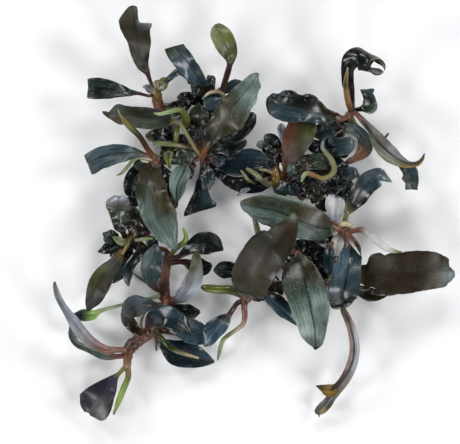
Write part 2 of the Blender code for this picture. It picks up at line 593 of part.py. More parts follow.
def east():
    rhizome(
        "east",
        [(24.8, -28.2, 3, 1.2), (25.4, -25, 1.6, 1.6), (25.6, -18, 1.3, 1.6), (26.2, -10.6, 1.6, 1.6),
         (26.8, -6.6, 3.2, 1.7), (27, -4.4, 4.6, 1.6), (27, -3.4, 5.4, 0.9)],
        small_leaves=[
            [(26, -9.6, 2.6, 0.8, 0.8), (23, -10.6, 5.6, 1.6, 1.6), (22.2, -14, 6.8, 1.9, 1.9),
             (22.4, -17.4, 6.4, 0.4, 0.4)],
            [(25.6, -13.6, 2.2, 0.8, 0.8), (20.8, -12.8, 3.6, 2.2, 2.2), (17, -11.8, 4.4, 2.8, 2.8),
             (13.8, -10.6, 4.4, 0.5, 0.5)],
            [(25.8, -22, 1.8, 0.8, 0.8), (31.4, -23.4, 3.4, 1.8, 1.8), (36, -24.6, 4, 2.3, 2.3),
             (40.6, -25.6, 3.6, 0.4, 0.4)],
            [(26.8, -5.6, 3.4, 0.8, 0.8), (25.2, -1.6, 4, 1, 1), (24.6, 1.6, 4.6, 2, 2),
             (24.3, 4.4, 4.8, 2.8, 2.8), (24.2, 5.8, 4.6, 1.2, 1.2)],
        ],
        roots=[
            [(25.8, -16, 1.2, 0.5), (29, -13.8, 0.5, 0.4), (31.2, -14.2, 0.4, 0.2)],
            [(25.4, -21, 1.2, 0.5), (20.2, -22.6, 0.5, 0.4), (16.4, -27, 0.4, 0.2)],
            [(26.2, -10, 1.2, 0.5), (22, -5.4, 0.5, 0.4), (17.4, -4.2, 0.4, 0.2)],
        ],
    )
    leaf(
        "leaf_east_1", "leaf_dark",
        [(27.6, -0.6, 6.8, 0.9, 0.9), (28.6, 1.8, 8.8, 1.4, 1.4), (32.7, 6.7, 11.6, 3.8, 3.6),
         (36.4, 9.4, 12.4, 3.6, 3.3), (39.3, 10.2, 11.6, 1.6, 1.9), (41.8, 9.3, 10.6, 0.3, 0.3)],
        fold=10,
    )
    leaf(
        "leaf_east_2", "leaf_silver",
        [(24.2, -4.6, 6.6, 0.9, 0.9), (21.6, -4.4, 9.4, 3.2, 3.6), (16.5, -2.7, 12.4, 5, 5),
         (10.5, -0.3, 14, 5.6, 5), (4.5, 1.8, 14.4, 5.2, 4), (0, 2.7, 13.6, 3.3, 2.5),
         (-3.9, 2.7, 12.4, 0.4, 0.4)],
        rolls=(0, -4, 0), fold=10,
    )
    leaf(
        "leaf_east_3", "leaf_olive",
        [(28.6, -18.9, 4.4, 0.9, 0.9), (32.1, -18.8, 6.6, 2.8, 2.8), (36.3, -18.6, 8.6, 5.6, 4.6),
         (41.7, -18, 10.4, 5.9, 6.2), (47.7, -17.4, 11, 5.9, 6.2), (53.1, -17.1, 10.4, 5.9, 5.8),
         (57.3, -17.5, 9, 4.7, 4.5), (59.7, -18, 7.6, 2.8, 3), (60.3, -18.1, 7.2, 1, 1)],
        rolls=(0, 4, 0), fold=8,
    )
    leaf(
        "leaf_east_4", "leaf_dark",
        [(29, -7.8, 6.2, 0.9, 0.9), (29.4, -10.8, 9.8, 1.9, 1.9), (29.4, -14.7, 13, 3.7, 4),
         (27.9, -20.1, 14.8, 4.4, 4.7), (26.4, -24.9, 14.2, 4.3, 4.2), (25.2, -28, 12.4, 2.4, 2.1),
         (24.7, -29.2, 11.4, 0.4, 0.4)],
        fold=12,
    )
    leaf(
        "leaf_east_5", "leaf_mauve",
        [(27.4, -29.4, 5, 0.9, 0.9), (28.9, -32.8, 8.2, 1.8, 1.8), (30.3, -39.3, 10, 2, 2),
         (29.2, -45.2, 8.4, 2.1, 2), (26.9, -50.2, 6.6, 2.2, 2.4), (25.2, -52.6, 5.8, 2.1, 5),
         (23.8, -54.8, 4.8, 2.2, 2.6), (21.2, -58.2, 3.4, 2.3, 2.2), (19.3, -60.4, 2.6, 0.5, 0.5)],
        rolls=(0, 12, 0), fold=14,
    )
    spear(
        "spear_east", "leaf_young",
        [(29.6, -5, 6.2, 0.9), (32, -4.5, 10, 1.1), (35.5, -6.8, 13.4, 1.1), (39.4, -9.8, 15.2, 1),
         (43.4, -11.3, 15.2, 0.4)],
    )


def northeast():
    rhizome(
        "northeast",
        [(21.4, 12.4, 1, 1.3), (23.2, 17, 1.2, 1.5), (25.4, 22.6, 1.8, 1.6), (27.6, 27.6, 4.4, 1.6),
         (28.3, 29.4, 5.6, 0.9)],
        small_leaves=[
            [(23, 16.6, 2, 0.8, 0.8), (20, 16.4, 3.6, 2, 2), (17.6, 15.8, 4, 2.2, 2.2),
             (15.4, 15.2, 3.8, 0.4, 0.4)],
            [(25, 22, 2.4, 0.8, 0.8), (27.6, 20.6, 3.8, 1.8, 1.8), (29.6, 19.4, 4, 1.8, 1.8),
             (30.8, 18.4, 3.6, 0.5, 0.5)],
            [(21.6, 13, 1.6, 0.8, 0.8), (20.8, 9.6, 3.2, 1.8, 1.8), (19.8, 6.4, 3.8, 2.3, 2.3),
             (18.8, 3.6, 3.4, 0.6, 0.6)],
        ],
        roots=[
            [(22.6, 15, 1.2, 0.5), (26, 13.2, 0.5, 0.4), (28.4, 10.6, 0.4, 0.2)],
            [(24.4, 19.6, 1.4, 0.5), (20.2, 22.6, 0.5, 0.4), (18.6, 27, 0.4, 0.2)],
        ],
    )
    leaf(
        "leaf_northeast_1", "leaf_dark",
        [(25, 28.8, 7.4, 0.9, 0.9), (23, 28.9, 10, 1.7, 1.7), (18.6, 30.2, 13, 3, 3.3),
         (14.1, 31.2, 14.6, 4.2, 3.6), (9.9, 32.4, 14.6, 4.5, 3.7), (6.9, 33.6, 13.6, 3.8, 2.7),
         (4.9, 34.5, 12.2, 0.6, 0.6)],
        fold=12,
    )
    leaf(
        "leaf_northeast_2", "leaf_dark",
        [(29.1, 32.2, 7, 0.9, 0.9), (28.7, 36, 12.4, 1.4, 1.4), (28.4, 40.6, 18, 1.9, 1.7),
         (29.2, 44.2, 22, 2.6, 2.6), (31.4, 45.6, 23.6, 3.5, 2.9), (34, 44.9, 23.8, 2.7, 2.7),
         (36.4, 44, 23, 2.3, 2.3), (38, 43.4, 21.8, 1.6, 1.6)],
        fold=20,
    )
    leaf(
        "leaf_northeast_3", "leaf_dark",
        [(31.8, 31, 5.2, 0.8, 0.8), (34.2, 31.8, 7.4, 1, 1.4), (35.5, 33.3, 8.6, 2.4, 2.4),
         (35, 35.6, 8.8, 2.4, 1.8), (34.4, 37, 8.6, 2, 1.6)],
        fold=8,
    )
    leaf(
        "leaf_northeast_4", "leaf_mauve",
        [(30.6, 28.6, 7.6, 0.9, 0.9), (33.4, 27.4, 10.4, 1.1, 1.1), (36.4, 24.1, 13, 2, 2),
         (39.4, 20, 14.2, 3, 3.2), (43.4, 16.2, 13.4, 2.2, 2.8), (47.1, 14.7, 11.8, 1.6, 1.6),
         (50, 15.6, 11.2, 0.9, 0.9), (51.7, 16.8, 11.2, 0.3, 0.3)],
        rolls=(0, -4, 0), fold=28,
    )
    leaf(
        "leaf_northeast_5", "leaf_silver",
        [(30.2, 25.8, 2.6, 0.8, 0.8), (36, 21.4, 3.4, 0.9, 0.9), (42, 16.4, 6, 1.3, 1.3),
         (46, 12.5, 8, 2.7, 2.7), (47.6, 9.5, 7.6, 2.5, 2.5), (48, 7, 6.6, 0.5, 0.5)],
        fold=8,
    )
    leaf(
        "leaf_northeast_6", "leaf_silver",
        [(29.4, 25.2, 6, 0.8, 0.8), (32.2, 24.6, 7.4, 1.4, 1.4), (34, 22, 8, 1.6, 1.6),
         (33.8, 18.6, 7.8, 1.6, 1.6), (31.4, 16, 7, 1.4, 1.4), (28, 15, 6, 0.4, 0.4)],
        fold=10,
    )
    spear(
        "spear_northeast", "stem",
        [(22.2, 21.8, 4.8, 0.9), (21, 20.6, 6.8, 0.9), (22.3, 17.6, 8.6, 0.9), (23.8, 13.9, 9, 0.9),
         (21.6, 10.6, 8.8, 0.9), (17.6, 11.4, 8.4, 0.9), (15.4, 11.2, 8, 0.8), (14.4, 9.2, 7.2, 0.4)],
    )


def middle():
    rhizome(
        "middle",
        [(15.6, 4.4, 1, 1.3), (12.4, 7.2, 1.2, 1.5), (9, 9.4, 2, 1.6), (6.6, 9.9, 3.6, 1.5),
         (5.7, 10, 4.2, 0.9)],
        small_leaves=[
            [(10.2, 8.8, 2.2, 0.8, 0.8), (12.2, 11.4, 3.8, 1.3, 1.3), (12.6, 14, 4.6, 1.3, 1.3),
             (12.2, 16, 4.6, 0.4, 0.4)],
        ],
        small_spears=[
            [(6.4, 9.6, 4, 0.8), (3.4, 8.8, 8, 0.9), (-0.9, 11, 10, 0.8), (-3.6, 13.8, 10.2, 0.4)],
            [(6.6, 10.2, 4, 0.8), (4.6, 11.2, 8.4, 0.8), (2.2, 12.2, 9.8, 0.8), (-0.4, 14.6, 10, 0.4)],
        ],
        roots=[
            [(12, 7.4, 1.4, 0.5), (14.6, 11, 0.5, 0.4), (18.6, 12.4, 0.4, 0.2)],
            [(11, 8, 1.4, 0.5), (7, 5, 0.5, 0.4), (4.4, 2, 0.4, 0.2)],
        ],
    )
    leaf(
        "leaf_middle_1", "leaf_olive",
        [(8.8, 11.8, 5, 0.8, 0.8), (10, 14.8, 7.4, 1.8, 1.9), (11.4, 18.9, 9.4, 3.4, 3.6),
         (13.5, 23.1, 10.6, 4.2, 4.7), (15.4, 26.6, 10.6, 2.8, 3.2), (16.8, 28.9, 10.2, 0.5, 0.5)],
        fold=12,
    )


def main():
    clear_scene()
    northwest()
    north()
    inner()
    west()
    farwest()
    central()
    southwest()
    south()
    east()
    northeast()
    middle()


main()
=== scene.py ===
import math
import bpy
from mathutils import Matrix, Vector


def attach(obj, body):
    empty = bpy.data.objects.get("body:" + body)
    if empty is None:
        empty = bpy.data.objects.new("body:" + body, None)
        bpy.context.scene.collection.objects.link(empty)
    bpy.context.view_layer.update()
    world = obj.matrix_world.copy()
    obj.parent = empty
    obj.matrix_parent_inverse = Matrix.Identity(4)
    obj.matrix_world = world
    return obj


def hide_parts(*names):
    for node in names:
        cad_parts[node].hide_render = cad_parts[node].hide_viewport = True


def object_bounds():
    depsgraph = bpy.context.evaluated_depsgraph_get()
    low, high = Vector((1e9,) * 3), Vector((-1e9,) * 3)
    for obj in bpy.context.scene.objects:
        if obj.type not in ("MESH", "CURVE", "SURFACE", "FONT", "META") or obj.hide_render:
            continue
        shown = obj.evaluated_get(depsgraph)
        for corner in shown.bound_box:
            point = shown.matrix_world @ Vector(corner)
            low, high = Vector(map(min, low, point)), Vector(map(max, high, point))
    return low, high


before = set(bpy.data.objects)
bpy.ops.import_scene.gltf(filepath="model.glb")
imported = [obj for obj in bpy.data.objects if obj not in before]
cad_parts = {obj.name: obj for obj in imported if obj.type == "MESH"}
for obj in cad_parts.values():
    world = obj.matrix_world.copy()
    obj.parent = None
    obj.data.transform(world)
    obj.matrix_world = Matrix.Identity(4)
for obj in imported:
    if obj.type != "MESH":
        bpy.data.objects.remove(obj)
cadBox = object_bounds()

mm = 0.001
print("frame loaded:", len(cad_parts), "nodes")

# colours as seen in the photo, sRGB
palette = {
    "ink": "06090a", "blackGreen": "0a110b", "teal": "18221e", "navy": "0f1b21", "blue": "20323c",
    "slate": "2a393e", "steel": "374a54", "greyGreen": "2b3527", "silver": "4b5a54", "paleSilver": "75877f",
    "olive": "26210b", "oliveDark": "1a1605", "oliveBrown": "2a200c", "brown": "211704", "rust": "4a2812",
    "redBrown": "3d231b", "pinkBrown": "765044", "orangeBrown": "744825", "golden": "7d6229",
        "tan": "6f6c48", "dusty": "7b6862", "peach": "8f6a52", "moss": "565a44",
    "cream": "b9ab8b", "mauve": "585450", "lilac": "80868e", "plum": "201d26", "yellowGreen": "5f6426",
    "umber": "332d17", "sage": "6f7650", "oliveGreen": "3d4217", "lime": "86a653", "paleGreen": "98a877",
        "paleGrey": "c6c6c2", "white": "dfe3e0",
}


def linear(colour):
    parts = [int(palette[colour][i:i + 2], 16) / 255 for i in (0, 2, 4)]
    return [p / 12.92 if p < 0.04045 else ((p + 0.055) / 1.055) ** 2.4 for p in parts]


class Field:  # a node's output that takes plain arithmetic
    def __init__(self, tree, socket):
        self.tree, self.socket = tree, socket

    def does(self, operation, *others):
        node = addNode(self.tree, "ShaderNodeMath", operation=operation)
        for socket, value in zip(node.inputs, (self,) + others):
            plug(self.tree, value, socket)
        return Field(self.tree, node.outputs[0])

    def __add__(self, other): return self.does("ADD", other)
    def __sub__(self, other): return self.does("SUBTRACT", other)
    def __mul__(self, other): return self.does("MULTIPLY", other)
    def __truediv__(self, other): return self.does("DIVIDE", other)
    def __neg__(self): return self * -1
    def __rsub__(self, other): return -self + other
    def __pow__(self, other): return self.does("POWER", other)
    __radd__ = __add__
    __rmul__ = __mul__


def addNode(tree, kind, **settings):
    node = tree.nodes.new(kind)
    count = len(tree.nodes)
    node.location = (200 * (count % 16), -220 * (count // 16))
    for name, value in settings.items():
        setattr(node, name, value)
    return node


def plug(tree, value, socket):
    if isinstance(value, Field):
        tree.links.new(value.socket, socket)
    elif isinstance(value, bpy.types.NodeSocket):
        tree.links.new(value, socket)
    else:
        socket.default_value = value


def use(tree, kind, inputs, output=0, **settings):  # one node with its inputs filled in
    node = addNode(tree, kind, **settings)
    for name, value in inputs.items():
        plug(tree, value, node.inputs[name])
    return Field(tree, node.outputs[output])


def vectorMath(tree, operation, *values):
    node = addNode(tree, "ShaderNodeVectorMath", operation=operation)
    sockets = (node.inputs[0], node.inputs["Scale"]) if operation == "SCALE" else node.inputs
    for socket, value in zip(sockets, values):
        plug(tree, value, socket)
    return Field(tree, node.outputs["Value" if operation in ("DOT_PRODUCT", "LENGTH") else "Vector"])


def blendColour(tree, share, first, second, mode="MIX"):
    node = addNode(tree, "ShaderNodeMix", data_type="RGBA", blend_type=mode)
    plug(tree, share, node.inputs[0])
    plug(tree, first, node.inputs[6])
    plug(tree, second, node.inputs[7])
    return Field(tree, node.outputs[2])


def ramp(tree, value, low, high, first=0.0, last=1.0):  # a smooth step
    return use(tree, "ShaderNodeMapRange", {"Value": value, "From Min": low, "From Max": high,
                                            "To Min": first, "To Max": last}, interpolation_type="SMOOTHSTEP")


def named(tree, name, kind="FLOAT"):
    return use(tree, "GeometryNodeInputNamedAttribute", {"Name": name}, data_type=kind)


def store(tree, geometry, name, value, kind="FLOAT"):
    return use(tree, "GeometryNodeStoreNamedAttribute",
               {"Geometry": geometry, "Name": name, "Value": value}, data_type=kind, domain="POINT")


def newTree(name, inputs):  # inputs: name -> starting value
    tree = bpy.data.node_groups.new(name, "GeometryNodeTree")
    tree.interface.new_socket("Geometry", in_out="INPUT", socket_type="NodeSocketGeometry")
    for label, value in inputs.items():
        kind = {float: "NodeSocketFloat", int: "NodeSocketInt"}.get(type(value), "NodeSocketMaterial")
        socket = tree.interface.new_socket(label, in_out="INPUT", socket_type=kind)
        if value is not None:
            socket.default_value = value
    tree.interface.new_socket("Geometry", in_out="OUTPUT", socket_type="NodeSocketGeometry")
    entry = addNode(tree, "NodeGroupInput")
    return tree, {s.name: Field(tree, s) for s in entry.outputs if s.name}


def endTree(tree, geometry, material):
    solid = use(tree, "GeometryNodeRealizeInstances", {"Geometry": geometry})
    smooth = use(tree, "GeometryNodeSetShadeSmooth", {"Geometry": solid, "Shade Smooth": True})
    painted = use(tree, "GeometryNodeSetMaterial", {"Geometry": smooth, "Material": material})
    plug(tree, painted, addNode(tree, "NodeGroupOutput").inputs[0])


# one tube along each guide line, flattened into a blade where the guide says so
def makeLeafTree():
    tree, given = newTree("leafTree", {
        "Ring Spacing": 0.00055, "Sides": 26, "Blade Thickness": 0.00024, "Midrib Groove": 0.00022,
        "Midrib Width": 0.00045, "Crinkle Height": 0.00006, "Crinkle Pitch": 0.0024, "Knot Pitch": 0.0023,
        "Material": None})
    line = use(tree, "GeometryNodeMeshToCurve", {"Mesh": given["Geometry"]})
    line = use(tree, "GeometryNodeCurveSplineType", {"Curve": line}, spline_type="CATMULL_ROM")
    line = use(tree, "GeometryNodeResampleCurve", {"Curve": line, "Length": given["Ring Spacing"]},
        mode="LENGTH")
    line = store(tree, line, "midrib", use(tree, "GeometryNodeInputPosition", {}), "FLOAT_VECTOR")
    line = store(tree, line, "ahead", use(tree, "GeometryNodeInputTangent", {}), "FLOAT_VECTOR")
    line = store(tree, line, "along", use(tree, "GeometryNodeSplineParameter", {}, "Factor"))
    line = store(tree, line, "reached", use(tree, "GeometryNodeSplineParameter", {}, "Length"))
    ring = use(tree, "GeometryNodeCurvePrimitiveCircle", {"Resolution": given["Sides"], "Radius": mm},
        "Curve")
    ring = store(tree, ring, "around", use(tree, "GeometryNodeSplineParameter", {}, "Factor"))
    skin = use(tree, "GeometryNodeCurveToMesh", {"Curve": line, "Profile Curve": ring, "Fill Caps": True})

    along, reached, seed = named(tree, "along"), named(tree, "reached"), named(tree, "seed")
    ahead = named(tree, "ahead", "FLOAT_VECTOR")
    turn = named(tree, "around") * (2 * math.pi)
    across = -turn.does("COSINE")  # -1 at the left edge, 1 at the right
    level = turn.does("SINE")  # 1 on top, -1 underneath
    isRight = across.does("GREATER_THAN", 0)
    left, right = named(tree, "left"), named(tree, "right")
    flat = named(tree, "blade").does("MAXIMUM", 0).does("MINIMUM", 1)

    def noise(x, y, scale=1.0, detail=1.0):  # about -1 to 1
        place = use(tree, "ShaderNodeCombineXYZ", {"X": x, "Y": y, "Z": seed})
        found = use(tree, "ShaderNodeTexNoise", {"Vector": place, "Scale": scale, "Detail": detail}, "Fac")
        return (found - 0.5) * 2.6

    edgeNoise = noise(reached / 0.0042, isRight * 9 + 4) + noise(reached / 0.0015, isRight * 7 + 2) * 0.4
    width = (left + (right - left) * isRight) * (1 + edgeNoise * named(tree, "ragged") * flat)
    knot = ((reached / given["Knot Pitch"]).does("FRACT") - 0.5) / 0.11
    lumpPlace = use(tree, "ShaderNodeCombineXYZ", {"X": across * 1.3 + seed, "Y": level * 1.3,
        "Z": reached / 0.0014})
    lump = (use(tree, "ShaderNodeTexNoise", {"Vector": lumpPlace, "Scale": 1.0, "Detail": 2.0},
        "Fac") - 0.5) * 2.4
    swollen = 1 + named(tree, "knots") * (knot * knot * -1).does("EXPONENT") + named(tree, "lumps") * lump
    width = (width * swollen).does("MAXIMUM", 0.00004)
    reach = across * width
    middle = ((reach / given["Midrib Width"]) ** 2 * -1).does("EXPONENT") * flat
    stalk = (left + right) * 0.5 * swollen
    half = stalk + (given["Blade Thickness"] - stalk) * flat
    depth = half * level - middle * given["Midrib Groove"] * ramp(tree, level, -0.3, 0.3, 0.2, 1.0)

    fold = named(tree, "fold")
    hinge = ((reach * reach + 2.5e-7).does("SQRT") - 0.0005) * flat
    bend = named(tree, "curl")  # one over the radius, positive lifts the edges
    bend = bend + bend.does("COMPARE", 0, 2.0) * 4
    angle = reach * bend
    sideways = angle.does("SINE") / bend * (1 + (fold.does("COSINE") - 1) * flat) - depth * angle.does("SINE")
    upwards = (1 - angle.does("COSINE")) / bend + hinge * fold.does("SINE") + depth * angle.does("COSINE")
    edge = across.does("ABSOLUTE") ** 2.2
    swell = (along * named(tree, "waves") + isRight * 0.37 + seed * 0.61) * (2 * math.pi)
    upwards = upwards + edge * named(tree, "wave") * flat * swell.does("SINE")
    upwards = upwards + noise(reached / 0.011, reach / 0.008) * named(tree, "billow") * flat
    pitch = given["Crinkle Pitch"]
    upwards = upwards + noise(reached / (pitch * 1.8), reach / (pitch * 0.45), 1.0,
        2.0) * given["Crinkle Height"] * flat
    onward = (edge * named(tree, "bow") + across * named(tree, "skew")) * ramp(tree, along, 0.72, 1.0)

    side = vectorMath(tree, "NORMALIZE", vectorMath(tree, "CROSS_PRODUCT", ahead, (0, 0, 1)))
    side = use(tree, "ShaderNodeVectorRotate", {"Vector": side, "Axis": ahead, "Angle": named(tree, "roll")})
    upper = vectorMath(tree, "CROSS_PRODUCT", side, ahead)
    place = named(tree, "midrib", "FLOAT_VECTOR")
    for direction, amount in ((side, sideways), (upper, upwards), (ahead, onward)):
        place = vectorMath(tree, "ADD", place, vectorMath(tree, "SCALE", direction, amount))
    parts = [use(tree, "ShaderNodeSeparateXYZ", {"Vector": place}, axis) for axis in "XYZ"]
    place = use(tree, "ShaderNodeCombineXYZ", {"X": parts[0], "Y": parts[1],
        "Z": parts[2].does("MAXIMUM", 0.00002)})
    skin = use(tree, "GeometryNodeSetPosition", {"Geometry": skin, "Position": place})

    share = ramp(tree, across, -0.35, 0.35)
    paint = blendColour(tree, share, named(tree, "paintLeft", "FLOAT_COLOR"),
                        named(tree, "paintRight", "FLOAT_COLOR"))
    for mark in ("A", "B"):  # soft patches of another colour; some are real colour, others are painted highlights and sheen
        spot = named(tree, "mark" + mark, "FLOAT_VECTOR")
        size = named(tree, "markReach" + mark, "FLOAT_VECTOR")
        parts = [use(tree, "ShaderNodeSeparateXYZ", {"Vector": v}, o) for v in (spot, size) for o in "XYZ"]
        gap = ((along - parts[0]) / parts[3]) ** 2 + ((across - parts[1]) / parts[4]) ** 2
        strength = (gap * -1).does("EXPONENT") * parts[2] * ramp(tree, level, -0.3, 0.1)
        paint = blendColour(tree, strength, paint, named(tree, "markPaint" + mark, "FLOAT_COLOR"))
    paint = blendColour(tree, ramp(tree, level, 0.05, -0.15) * flat, paint,
        named(tree, "paintUnder", "FLOAT_COLOR"))
    skin = store(tree, skin, "paint", paint, "FLOAT_COLOR")
    skin = store(tree, skin, "spot", use(tree, "ShaderNodeCombineXYZ", {"X": reach, "Y": reached, "Z": seed}),
                 "FLOAT_VECTOR")
    skin = store(tree, skin, "lie", use(tree, "ShaderNodeCombineXYZ", {"X": across, "Y": along, "Z": level}),
                 "FLOAT_VECTOR")
    endTree(tree, skin, given["Material"])
    return tree


finishes = {  # dots: silver dots everywhere, ribs: contrast of the veins, bump: height of the relief
    "leafDark": dict(rough=0.24, coat=0.20, dots=0.05, ribs=0.25, bump=0.7),
    "leafOlive": dict(rough=0.40, coat=0.0, dots=0.06, ribs=0.20, bump=0.6),
    "leafSilver": dict(rough=0.32, coat=0.05, dots=0.45, ribs=0.45, bump=0.7),
    "leafMauve": dict(rough=0.34, coat=0.05, dots=0.05, ribs=0.45, bump=0.6),
    "leafYoung": dict(rough=0.36, coat=0.10, dots=0.04, ribs=0.25, bump=0.4),
    "stem": dict(rough=0.40, coat=0.10, dots=0.02, ribs=0.30, bump=0.7),
}


def leafFinish(name):
    made = bpy.data.materials.new(name)
    made.use_nodes = True
    tree, want = made.node_tree, finishes[name]
    shader = tree.nodes["Principled BSDF"]

    def read(label, output="Fac"):
        return use(tree, "ShaderNodeAttribute", {}, output, attribute_name=label)

    paint, spot, lie = read("paint", "Color"), read("spot", "Vector"), read("lie", "Vector")
    blade, ownRibs, ownDots = read("blade"), read("ribs"), read("dots")
    reach, reached, seed = [use(tree, "ShaderNodeSeparateXYZ", {"Vector": spot}, o) for o in "XYZ"]
    across, along, level = [use(tree, "ShaderNodeSeparateXYZ", {"Vector": lie}, o) for o in "XYZ"]

    def noise(x, y, detail=2.0):
        place = use(tree, "ShaderNodeCombineXYZ", {"X": x, "Y": y, "Z": seed * 3})
        return use(tree, "ShaderNodeTexNoise", {"Vector": place, "Scale": 1.0, "Detail": detail}, "Fac")

    fibres = noise(reach * 3000, reached * 170)
    mottle = noise(reach * 420, reached * 300, 3.0)
    grain = noise(reach * 3800, reached * 3000)
    drift = noise(reach * 500, reached * 200)
    veins = ((across * 8 + drift * 1.1) * math.pi).does("COSINE") ** 2  # nearly parallel to the edges
    veins = veins ** 5 * blade * ramp(tree, fibres, 0.35, 0.6)
    cell = use(tree, "ShaderNodeCombineXYZ", {"X": reach * 2300, "Y": reached * 2100, "Z": seed * 3})
    dots = use(tree, "ShaderNodeTexVoronoi", {"Vector": cell, "Scale": 1.0, "Randomness": 0.85}, "Distance")
    dots = ramp(tree, dots, 0.36, 0.12) * ramp(tree, mottle, 0.35, 0.62) * (ownDots + want["dots"]) * blade

    share = ownRibs + want["ribs"]
    tone = 1 + (fibres - 0.5) * share * 1.6 + veins * share * 0.9 + (mottle - 0.5) * 1.1 + (grain - 0.5) * 0.5
    line = ((reach / (0.28 * mm)) ** 2 * -1).does("EXPONENT") * blade
    tone = (tone * (1 + line * read("midribTone"))).does("MAXIMUM", 0.12)
    grey = use(tree, "ShaderNodeCombineXYZ", {"X": tone, "Y": tone, "Z": tone})
    colour = blendColour(tree, 1.0, paint, grey, "MULTIPLY")
    rim = ramp(tree, across.does("ABSOLUTE"), 0.94, 0.99) * ramp(tree, mottle, 0.35, 0.6) * blade
    colour = blendColour(tree, rim * 0.5, colour, blendColour(tree, 1.0, colour, (2.3, 2.2, 1.9, 1),
        "MULTIPLY"))
    silver = blendColour(tree, 0.5, (*linear("paleSilver"), 1), paint, "SCREEN")
    colour = blendColour(tree, dots.does("MINIMUM", 1), colour, silver)
    plug(tree, colour, shader.inputs["Base Color"])
    rough = want["rough"] + (mottle - 0.5) * 0.2 + (grain - 0.5) * 0.12
    plug(tree, rough.does("MAXIMUM", 0.12), shader.inputs["Roughness"])
    shader.inputs["Coat Weight"].default_value = want["coat"]
    shader.inputs["Coat Roughness"].default_value = 0.12
    shader.inputs["Specular IOR Level"].default_value = 0.45
    height = fibres * 0.4 + grain * 0.12 + dots * 0.3 + veins * 0.6 - line * 0.5
    bump = use(tree, "ShaderNodeBump", {"Height": height, "Strength": want["bump"], "Distance": 0.00005},
        "Normal")
    plug(tree, bump, shader.inputs["Normal"])
    return made


materials = {name: leafFinish(name) for name in finishes}
leafTree = makeLeafTree()

habit = {  # what a leaf has where its own entry says nothing; millimetres and degrees
    "paint": ["redBrown", "teal"], "under": "mauve", "fold": 10, "roll": [0, 0], "curl": [0, 0],
    "wave": 0.45, "waves": 2.6, "billow": 0.2, "ragged": 0.07, "bow": 0, "skew": 0, "dots": 0, "ribs": 0.3,
        "midrib": -0.35,
    "marks": [], "round": False, "knots": 0, "lumps": 0,
}


def spread(values, share):  # a list read part of the way along
    place = share * (len(values) - 1)
    first = min(int(place), len(values) - 2)
    return values[first] + (values[first + 1] - values[first]) * (place - first)


def guideRows(leaf, seed):  # one row of attributes for each station of a leaf
    want = habit | leaf
    at = want["at"]
    mean = [(row[3] + row[4]) / 2 for row in at]
    start = next((i for i, width in enumerate(mean) if width > 1.05),
        len(at)) if not want["round"] else len(at)
    if not want["round"] and start == len(at):
        start = 1
    rows = []
    for i, (x, y, z, left, right) in enumerate(at):
        share = i / (len(at) - 1)
        onBlade = i >= start
        paints = want["paint"]
        if want["round"]:
            place = share * (len(paints) - 1)
        elif onBlade:
            place = 1 + (i - start) / max(len(at) - 1 - start, 1) * (len(paints) - 2)
        else:
            place = 0.0
        first = min(int(place), len(paints) - 1)
        after = min(first + 1, len(paints) - 1)
        pair = []
        for half in (0, -1):
            a, b = (linear(paints[k].split("/")[half]) for k in (first, after))
            pair.append([p + (q - p) * (place - first) for p, q in zip(a, b)] + [1])
        row = {
            "place": (x * mm, y * mm, z * mm), "left": left * mm, "right": right * mm,
            "blade": 1.0 if onBlade else 0.0, "fold": math.radians(want["fold"]),
            "roll": math.radians(spread(want["roll"], share)), "curl": spread(want["curl"], share) / mm,
            "wave": want["wave"] * mm, "waves": want["waves"], "billow": want["billow"] * mm,
            "ragged": want["ragged"], "bow": want["bow"] * mm, "skew": want["skew"] * mm, "seed": seed,
            "ribs": want["ribs"],
            "dots": want["dots"], "midribTone": want["midrib"], "knots": want["knots"],
                "lumps": want["lumps"],
            "paintLeft": pair[0], "paintRight": pair[1], "paintUnder": linear(want["under"]) + [1],
        }
        for mark, entry in zip("AB", list(want["marks"]) + [(0, 0, 1, 1, "ink", 0)] * 2):
            row["mark" + mark] = (entry[0], entry[1], entry[5])
            row["markReach" + mark] = (entry[2], entry[3], 0)
            row["markPaint" + mark] = linear(entry[4]) + [1]
        rows.append(row)
    return rows


guides = []  # object, its nodes in the frame, its finish


def growPiece(name, leaves, finish, nodes, seed, **sizes):  # one piece from one or more leaves
    chains = [guideRows(leaf, seed + 0.73 * i) for i, leaf in enumerate(leaves)]
    rows = [row for chain in chains for row in chain]
    edges, first = [], 0
    for chain in chains:
        edges += [(first + i, first + i + 1) for i in range(len(chain) - 1)]
        first += len(chain)
    mesh = bpy.data.meshes.new(name)
    mesh.from_pydata([row["place"] for row in rows], edges, [])
    for key, value in rows[0].items():
        if key == "place":
            continue
        kind = "FLOAT" if isinstance(value,
            (int, float)) else "FLOAT_COLOR" if len(value) == 4 else "FLOAT_VECTOR"
        field = {"FLOAT": "value", "FLOAT_COLOR": "color", "FLOAT_VECTOR": "vector"}[kind]
        numbers = [row[key] for row in rows]
        if kind != "FLOAT":
            numbers = [part for number in numbers for part in number]
        mesh.attributes.new(key, kind, "POINT").data.foreach_set(field, numbers)
    piece = bpy.data.objects.new(name, mesh)
    bpy.context.scene.collection.objects.link(piece)
    modifier = piece.modifiers.new("leafTree", "NODES")
    modifier.node_group = leafTree
    for label, value in ({"Material": materials[finish]} | sizes).items():
        socket = next(s for s in leafTree.interface.items_tree if s.in_out == "INPUT" and s.name == label)
        modifier[socket.identifier] = value
    guides.append((piece, nodes, finish))
    return piece


